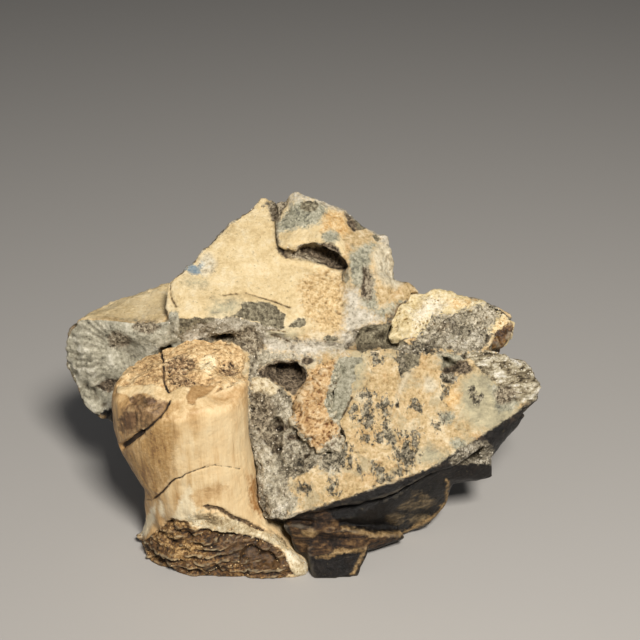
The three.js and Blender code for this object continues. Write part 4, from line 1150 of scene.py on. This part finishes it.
def limestone():
    """Broken dark limestone under a clay-coloured weathered coat: dull, with crystal grains that glint."""
    r = Recipe("broken_limestone", 0.75)
    r.spots("broad", 6.0, 7.0, 0.65, warp=0.4)
    r.spots("fine", 1.3, 6.0, 0.7)
    r.spots("bed", 1.2, 4.0, 0.6, stretch=(0.22, 0.22, 1.0))
    r.spots("speck", 3.4, 6.0, 0.74, stretch=(1.4, 0.8, 0.8), warp=0.9)
    r.crystals("grain", 0.6, 0.9)
    r.rays("ray", STRUCK_AT, 13.0, 9.0)
    r.lay([], ["#332d25", "#665d4c", "#8f8672", "#b9af99"], {"broad_a": 0.3, "fine_a": 0.4, "grain_a": 0.3})
    for name, hexes, shares, rough, grit, (reach, soft) in STONE_LAYERS:
        r.lay([r.zone(name, {"fine_b": 0.65, "broad_c": 0.35}, reach, soft)], hexes, shares, rough, grit)
        if name == "coat":
            for pattern, low, high, colour, strength in COAT_TINTS:
                r.lay([(r.patterns[pattern], low, high, strength)], [colour])
    # the coat's worn spots, where the dark stone shows through as many small specks
    worn = r.specks("speckle", {"fine_c": 0.3, "speck_a": 0.7}, 0.51, 0.13)
    r.lay([worn, r.zone("coat", {"fine_a": 1.0}, 0.5, 0.5, 0.5)],
          ["#2b261c", "#5c5545", "#867d68", "#b0a68d"], {"grain_c": 0.5, "fine_a": 0.5}, 0.55, 0.7)
    r.lay([(r.mixed({"fine_a": 0.8, "grain_a": 0.2}), 0.18, 0.08, 0.6)],
          ["#5c5340", "#8a7c60"], {"grain_a": 1.0})
    r.lay([r.zone("crack", {"fine_a": 1.0}, 0.25, 0.2, -0.2)], ["#5a4428", "#8f7348"], {"fine_a": 1.0}, 0.8)
    # painted shade darkens the hollows and the large recesses, and a painted highlight with rubbed pale chips
    # lightens the edges
    r.lay([(r.painted("hollow"), 0.04, 0.55, 1.0)], ["#6a5a46"], blend="MULTIPLY")
    r.lay([(r.painted("recess"), 0.3, 2.0, 1.0)], ["#8a7b66"], blend="MULTIPLY")
    r.lay([(r.painted("hollow"), -0.12, -0.7, 0.4)], ["#dccdb0"])
    return r.finish(r.mixed({"fine_a": 0.6, "grain_a": 0.15, "ray_a": 0.25}), 0.42, 0.9, 0.35)


# The same for the limb bone, without grit.
LIMB_LAYERS = [
    ("tawny", ["#86643c", "#a8834f", "#b8945f", "#cdab79"], {"streak_c": 0.6, "fine_c": 0.4}, 0.5, 1.0,
     1.2),
    ("top", ["#7a5d39", "#bb9868", "#dbbb89", "#efd6a6"], {"fine_b": 0.5, "grain_a": 0.2, "broad_c": 0.3},
     0.8, 0.4, 0.15),
    ("burrow", ["#33240f", "#755a3b", "#a68660", "#d6ba8d"], {"fine_c": 0.6, "grain_b": 0.4}, 0.8, 1.2,
     0.6),
    ("crumb", ["#d3b88a", "#eed9ac", "#fbeec9"], {"fine_a": 0.6, "grain_c": 0.4}, 0.7, 0.8, 0.4),
    ("pale", ["#e2cfa8", "#f0dfb9", "#f8ecd0"], {"streak_b": 0.6, "fine_a": 0.4}, 0.5, 0.6, 0.5),
    ("smudge", ["#b4905f", "#cba876", "#d8b988"], {"streak_a": 0.5, "fine_c": 0.5}, 0.5, 1.0, 0.8),
    ("lip", ["#c8ab7a", "#dec292", "#edd6a8"], {"fine_a": 0.6, "broad_b": 0.4}, 0.6, 0.3, 0.15),
    ("flake", ["#a07a4b", "#b99463", "#ceaa78"], {"fine_a": 0.6, "broad_b": 0.4}, 0.45, 0.5, 0.3),
    ("tan", ["#b58f5d", "#c8a26e", "#d6b27f"], {"fine_a": 0.5, "streak_b": 0.5}, 0.5, 1.5, 1.8),
    ("bruise", ["#5b4629", "#7b5f3f", "#95764f", "#b09268"], {"streak_c": 0.5, "fine_c": 0.5}, 0.55, 0.4,
     0.25),
    ("scar", ["#463219", "#684c31", "#806243"], {"streak_c": 0.5, "fine_c": 0.5}, 0.55, 0.8, 0.6),
    ("stain", ["#8a5d30", "#b3834e", "#cba26e"], {"streak_c": 0.5, "fine_b": 0.5}, 0.5, 1.0, 0.8),
    ("foot", ["#20150a", "#3e2a13", "#624423", "#886638", "#bd9b67"],
     {"fine_c": 0.45, "grain_b": 0.2, "broad_a": 0.35}, 0.75, 0.5, 0.2),
    ("bowl", ["#2c1e0e", "#48331b", "#694c2c"], {"broad_b": 0.4, "fine_c": 0.6}, 0.6, 1.6, 1.4),
    ("rim", ["#6e5a3a", "#b5a079", "#d8c8a3", "#ece2c6"], {"fine_a": 0.45, "broad_b": 0.55}, 0.7, 0.8, 0.3),
    ("groove", ["#3a2b19", "#6d563a", "#8f7654"], {"fine_a": 1.0}, 0.8, 0.3, 0.2),
]


def cortical_bone():
    """Fossil limb bone: smooth streaked cortex, a little waxy, and brown spongy bone at both broken ends."""
    r = Recipe("fossil_limb_bone", 0.45)
    r.spots("streak", 2.4, 5.0, 0.6, stretch=(1, 1, 0.10), warp=0.2)
    r.spots("fibre", 0.5, 3.0, 0.6, stretch=(1, 1, 0.06))
    r.spots("broad", 9.0, 4.0, 0.55)
    r.spots("fine", 1.1, 5.0, 0.7)
    r.crystals("grain", 0.6)
    r.lay([], ["#b9935f", "#d2b17e", "#e0c290", "#e7cc9d", "#eed7ab"],
          {"streak_a": 0.45, "fibre_a": 0.15, "broad_a": 0.4})
    # the cortex has a painted highlight on its right side, and its left is brown with painted shade
    x = add(r.tree, "ShaderNodeSeparateXYZ", {0: r.place}).outputs[0]
    side = r.maths("MULTIPLY_ADD", r.mixed({"streak_b": 0.5, "broad_b": 0.5}), 12 * MM, x)
    r.lay([(side, -31 * MM, -17 * MM, 0.85)], ["#dbb987", "#ebcf9f", "#f1d9ac"],
          {"streak_b": 0.5, "fibre_a": 0.2, "broad_a": 0.3})
    r.lay([(side, -29 * MM, -42 * MM, 0.95)], ["#866540", "#ad8755", "#c39d69", "#d5b37f"],
          {"streak_c": 0.6, "fibre_b": 0.2, "broad_c": 0.2}, 0.5)
    for name, hexes, shares, rough, reach, soft in LIMB_LAYERS:
        r.lay([r.zone(name, {"fine_b": 0.7, "broad_a": 0.3}, reach, soft)], hexes, shares, rough)
    # painted shade in the hollows, and a painted highlight on what stands proud
    r.lay([(r.painted("hollow"), 0.05, 0.5, 1.0)], ["#4d3923"], blend="MULTIPLY")
    r.lay([(r.painted("hollow"), -0.1, -0.5, 0.35)], ["#f0dcb0"])
    r.lay([r.zone("crack", {"fine_a": 1.0}, 0.08, 0.12)], ["#1c130b", "#4a3621"], {"broad_b": 1.0}, 0.9)
    return r.finish(r.mixed({"fine_a": 0.5, "fibre_a": 0.3, "grain_a": 0.2}), 0.16)


# The same for the two smaller bones.
SMALL_LAYERS = [
    ("warm", ["#d3b07a", "#ead09a", "#f4e2bd"], {"fine_b": 1.0}, 0.6, 0.5, 0.3),
    ("white", ["#d6c9aa", "#eee3c8", "#f9f2de"], {"fine_a": 0.6, "grain_c": 0.4}, 0.7, 2.0, 1.5),
    ("wedge", ["#5b5845", "#928e78", "#b0ab95", "#cfc9b2"], {"fine_c": 0.7, "grain_b": 0.3}, 0.55, 0.4,
     0.15),
    ("stone", ["#332c20", "#786f5b", "#a49a82", "#c0b69e", "#ddd3bd"],
     {"broad_b": 0.3, "fine_c": 0.4, "grain_b": 0.3}, 0.5, 1.4, 0.4),
    ("end", ["#2f1d0d", "#553a1c", "#7d5c33", "#a07a48"], {"broad_c": 0.5, "fine_b": 0.5}, 0.35, 0.5, 0.25),
]


def broken_bone(name, hexes, dark):
    """Spongy fossil bone: dry, with a painted highlight on its thin walls and painted shade in its pores."""
    r = Recipe(name, 0.78)
    r.spots("broad", 4.0, 5.0, 0.6)
    r.spots("fine", 0.9, 5.0, 0.7)
    r.crystals("grain", 0.55)
    r.lay([], hexes, {"broad_a": 0.35, "fine_a": 0.4, "grain_a": 0.25})
    for layer, layer_hexes, shares, rough, reach, soft in SMALL_LAYERS:
        r.lay([r.zone(layer, {"fine_b": 1.0}, reach, soft)], layer_hexes, shares, rough)
    # painted shade in the pores, and a painted highlight on the thin walls
    r.lay([(r.painted("hollow"), 0.03, 0.35, 1.0)], [dark], blend="MULTIPLY")
    r.lay([(r.painted("hollow"), -0.08, -0.4, 0.4)], ["#f6e6c2"])
    return r.finish(r.mixed({"fine_a": 0.7, "grain_a": 0.3}), 0.2)


def loose_grains(name, hexes, roughness):
    """Small loose pieces, each of one colour and with clean flat faces."""
    r = Recipe(name, roughness)
    r.patterns["tone"] = r.painted("tone")
    r.lay([], hexes, {"tone": 1.0})
    return r.finish(r.patterns["tone"], 0.0)


# ------------------------------------------------------------------ scattered grains
def enabled(sockets, name):
    """The socket of this name that the node's present settings use."""
    return [socket for socket in sockets if socket.name == name and socket.enabled][0]


def grain_tree(material):
    """A tree that scatters angular grains over a skin, more of them where its "grain_rate" is higher."""
    tree = bpy.data.node_groups.new("scattered_grains", "GeometryNodeTree")
    tree.interface.new_socket("Geometry", in_out="INPUT", socket_type="NodeSocketGeometry")
    for name, kind in (("Density", "Float"), ("Smallest", "Float"), ("Largest", "Float"), ("Seed", "Int")):
        tree.interface.new_socket(name, in_out="INPUT", socket_type="NodeSocket" + kind)
    tree.interface.new_socket("Geometry", in_out="OUTPUT", socket_type="NodeSocketGeometry")
    given = add(tree, "NodeGroupInput").outputs
    rate = add(tree, "GeometryNodeInputNamedAttribute", {"Name": "grain_rate"}, data_type="FLOAT")
    density = add(tree, "ShaderNodeMath", {0: rate.outputs["Attribute"], 1: given["Density"]},
                  operation="MULTIPLY").outputs[0]
    points = add(tree, "GeometryNodeDistributePointsOnFaces",
                 {"Mesh": given["Geometry"], "Density": density, "Seed": given["Seed"]}).outputs["Points"]
    grain = add(tree, "GeometryNodeMeshCube", {"Size": (1.0, 0.8, 0.65)}).outputs["Mesh"]
    turn = add(tree, "FunctionNodeRandomValue",
               {"Min": (0, 0, 0), "Max": (math.tau,) * 3, "Seed": given["Seed"]},
               data_type="FLOAT_VECTOR").outputs["Value"]
    size = add(tree, "FunctionNodeRandomValue", data_type="FLOAT")
    tone = add(tree, "FunctionNodeRandomValue", data_type="FLOAT")
    tree.links.new(given["Smallest"], enabled(size.inputs, "Min"))
    tree.links.new(given["Largest"], enabled(size.inputs, "Max"))
    sizes = enabled(size.outputs, "Value")
    grains = add(tree, "GeometryNodeInstanceOnPoints",
                 {"Points": points, "Instance": grain, "Rotation": turn, "Scale": sizes})
    toned = add(tree, "GeometryNodeStoreNamedAttribute", {"Geometry": grains.outputs[0], "Name": "tone"},
                data_type="FLOAT", domain="INSTANCE")
    tree.links.new(enabled(tone.outputs, "Value"), toned.inputs["Value"])
    real = add(tree, "GeometryNodeRealizeInstances", {0: toned.outputs[0]}).outputs[0]
    dressed = add(tree, "GeometryNodeSetMaterial", {"Geometry": real, "Material": material}).outputs[0]
    add(tree, "NodeGroupOutput", {0: dressed})
    return tree


def scattered(skin_name, name, material, count, smallest, largest, seed):
    """A new object of about this many grains on a skin."""
    skin = bpy.data.objects[skin_name].data
    rates = painted_values(skin, "grain_rate")
    share = sum(polygon.area * rates[polygon.vertices[0]] for polygon in skin.polygons)
    obj = new_object(name, skin.copy())
    tree = grain_tree(material)
    scatter = obj.modifiers.new("grains", "NODES")
    scatter.node_group = tree
    values = {"Density": count / share, "Smallest": smallest, "Largest": largest, "Seed": seed}
    for item in tree.interface.items_tree:
        if item.in_out == "INPUT" and item.name in values:
            scatter[item.identifier] = values[item.name]
    applied(obj)
    return obj


# ------------------------------------------------------------------ the stage
VIEW_TARGET = Vector((5.8, -5.4, 73.0)) * MM
VIEW_DISTANCE = 400 * MM
VIEW_ELEVATION = math.radians(30)
VIEW_ANGLE = math.radians(27.87)
FLOOR_REACH = 1500 * MM  # from the middle to each side
SQUARE = ((-1, -1), (1, -1), (1, 1), (-1, 1))
# Each light: its place and size in metres, its power in watts and its colour.
LIGHTS = (
    ("key", (0.13, -0.476, 0.594), 0.14, 6.75, "#fffaf4"),
    ("fill", (-0.6, -0.3, 0.3), 0.5, 0.35, "#f4f6ff"),
)
SKY_COLOUR, SKY_STRENGTH = "#eceef2", 0.08


def paper(colour):
    """Dull paper of one colour, for the floor."""
    material = bpy.data.materials.new("pale_paper")
    material.use_nodes = True
    inputs = material.node_tree.nodes["Principled BSDF"].inputs
    inputs["Base Color"].default_value = colour
    inputs["Roughness"].default_value = 0.9
    return material


def aimed(name, data, place):
    """A new camera or light, turned towards the middle of the view."""
    obj = new_object(name, data)
    obj.location = place
    obj.rotation_euler = (place - VIEW_TARGET).to_track_quat("Z", "Y").to_euler()
    return obj


# ------------------------------------------------------------------ the add-on
def length(name, description, default, least):
    """A length that the panel shows, given in millimetres."""
    return FloatProperty(name=name, description=description, default=default * MM, min=least * MM,
                         unit="LENGTH", precision=5)


def number(name, description, default):
    """A number of grains that the panel shows."""
    return IntProperty(name=name, description=description, default=default, min=1, max=15000)


class FossilSizes(bpy.types.PropertyGroup):
    relief: FloatProperty(name="Relief", description="How strong the broken relief is", default=1.0, min=0.0,
                          subtype="FACTOR")
    stone_voxel: length("Stone skin", "Size of the stone skin's quads", 0.5, 0.3)
    bone_voxel: length("Bone skin", "Size of the bones' quads", 0.4, 0.3)
    triangles: IntProperty(name="Triangles", description="Most triangles of one piece", default=195000,
                           min=1000)
    crystals: number("Crystals", "How many loose crystals lie in the broken stone", 1500)
    crumbs: number("Crumbs", "How many loose crumbs lie on the bone's broken ends", 500)
    smallest: length("Smallest grain", "Length of the smallest loose grain", 0.18, 0.1)
    largest: length("Largest grain", "Length of the largest loose grain", 0.5, 0.1)
    floor_colour: FloatVectorProperty(name="Floor", description="Colour of the paper under the fossil",
                                      subtype="COLOR", size=4, default=linear("#b3b0ab"), min=0.0, max=1.0)


def finish_skin(obj, sizes, material, node):
    """Thins a shaped skin, gives it its material, hangs it on the body and hides the CAD part of its node."""
    thinned(obj, sizes.triangles)
    obj.data.materials.append(material)
    hand_in(obj, node)


class FOSSIL_OT_stone(bpy.types.Operator):
    """Makes the broken limestone block."""

    bl_idname = "fossil.stone"
    bl_label = "Stone"

    def execute(self, context):
        sizes = context.scene.fossil_sizes
        obj = remeshed_copy("matrix", "stone_block", sizes.stone_voxel, STONE_PLUGS)
        shape_stone(Skin(obj), sizes.relief)
        finish_skin(obj, sizes, limestone(), "matrix")
        return {"FINISHED"}


class FOSSIL_OT_limb(bpy.types.Operator):
    """Makes the limb bone."""

    bl_idname = "fossil.limb"
    bl_label = "Limb bone"

    def execute(self, context):
        sizes = context.scene.fossil_sizes
        obj = remeshed_copy("limb_bone", "limb_bone_skin", sizes.bone_voxel, LIMB_PLUGS)
        shape_limb(Skin(obj), sizes.relief)
        finish_skin(obj, sizes, cortical_bone(), "limb_bone")
        return {"FINISHED"}


class FOSSIL_OT_small_bones(bpy.types.Operator):
    """Makes the spongy fragment in the groove and the small bone at the upper right."""

    bl_idname = "fossil.small_bones"
    bl_label = "Smaller bones"

    def execute(self, context):
        sizes = context.scene.fossil_sizes
        for node, name, slot, seed, growth, material in (
            ("bone_fragment", "fragment_skin", "spongy_bone", 110, 1.1,
             broken_bone("spongy_fragment", ["#85643b", "#b89362", "#d0ae7d", "#e6cda2"], "#8a6a45")),
            ("small_bone", "small_bone_skin", "cream_bone", 130, 0.35,
             broken_bone("cream_small_bone", ["#bca676", "#d6c291", "#e4d3a7", "#f0e4c5"], "#94805a")),
        ):
            obj = remeshed_copy(node, name, sizes.bone_voxel)
            shape_spongy(Skin(obj), sizes.relief, seed, growth)
            finish_skin(obj, sizes, material, node)
        return {"FINISHED"}


class FOSSIL_OT_grains(bpy.types.Operator):
    """Makes the loose crystals in the broken stone and the crumbs on the limb bone's ends."""

    bl_idname = "fossil.grains"
    bl_label = "Crystals and crumbs"

    def execute(self, context):
        sizes = context.scene.fossil_sizes
        calcite = loose_grains("calcite_grains", ["#3d3629", "#786f5b", "#a79d87", "#ddd4c0"], 0.35)
        crumbs = loose_grains("bone_crumbs", ["#5d4325", "#94723f", "#c09a66", "#dcbf8f"], 0.8)
        for skin, name, slot, material, count, seed in (
            ("stone_block", "stone_grains", "matrix_stone", calcite, sizes.crystals, 5),
            ("limb_bone_skin", "limb_crumbs", "cortical_bone", crumbs, sizes.crumbs, 6),
        ):
            obj = scattered(skin, name, material, count, sizes.smallest, sizes.largest, seed)
            hand_in(obj)
        return {"FINISHED"}


class FOSSIL_OT_stage(bpy.types.Operator):
    """Makes the floor, the lights and the camera."""

    bl_idname = "fossil.stage"
    bl_label = "Stage"

    def execute(self, context):
        scene = context.scene
        mesh = bpy.data.meshes.new("floor")
        corners = [(x * FLOOR_REACH, y * FLOOR_REACH, 0) for x, y in SQUARE]
        mesh.from_pydata(corners, [], [(0, 1, 2, 3)])
        mesh.materials.append(paper(scene.fossil_sizes.floor_colour))
        new_object("floor", mesh)
        camera = bpy.data.cameras.new("camera")
        camera.angle = VIEW_ANGLE
        direction = Vector((0, -math.cos(VIEW_ELEVATION), math.sin(VIEW_ELEVATION)))
        scene.camera = aimed("camera", camera, VIEW_TARGET + direction * VIEW_DISTANCE)
        for name, place, size, power, colour in LIGHTS:
            light = bpy.data.lights.new(name, "AREA")
            light.size = size
            light.energy = power
            light.color = linear(colour)[:3]
            aimed(name, light, Vector(place))
        world = bpy.data.worlds.new("studio")
        world.use_nodes = True
        background = world.node_tree.nodes["Background"].inputs
        background["Color"].default_value = linear(SKY_COLOUR)
        background["Strength"].default_value = SKY_STRENGTH
        scene.world = world
        scene.view_settings.view_transform = "Standard"
        return {"FINISHED"}


class FOSSIL_PT_panel(bpy.types.Panel):
    """Lists the fossil's pieces and their sizes."""

    bl_idname = "FOSSIL_PT_panel"
    bl_label = "Fossil"
    bl_space_type = "VIEW_3D"
    bl_region_type = "UI"
    bl_category = "Fossil"

    def draw(self, context):
        for name in FossilSizes.__annotations__:
            self.layout.prop(context.scene.fossil_sizes, name)
        for operator in OPERATORS:
            self.layout.operator(operator.bl_idname)


OPERATORS = (FOSSIL_OT_stone, FOSSIL_OT_limb, FOSSIL_OT_small_bones, FOSSIL_OT_grains, FOSSIL_OT_stage)
CLASSES = (FossilSizes, *OPERATORS, FOSSIL_PT_panel)


def register():
    for cls in CLASSES:
        bpy.utils.register_class(cls)
    bpy.types.Scene.fossil_sizes = PointerProperty(type=FossilSizes)


def unregister():
    del bpy.types.Scene.fossil_sizes
    for cls in reversed(CLASSES):
        bpy.utils.unregister_class(cls)


def main():
    register()
    bpy.ops.fossil.stone()
    bpy.ops.fossil.limb()
    bpy.ops.fossil.small_bones()
    bpy.ops.fossil.grains()
    bpy.ops.fossil.stage()


if __name__ == "__main__":
    main()
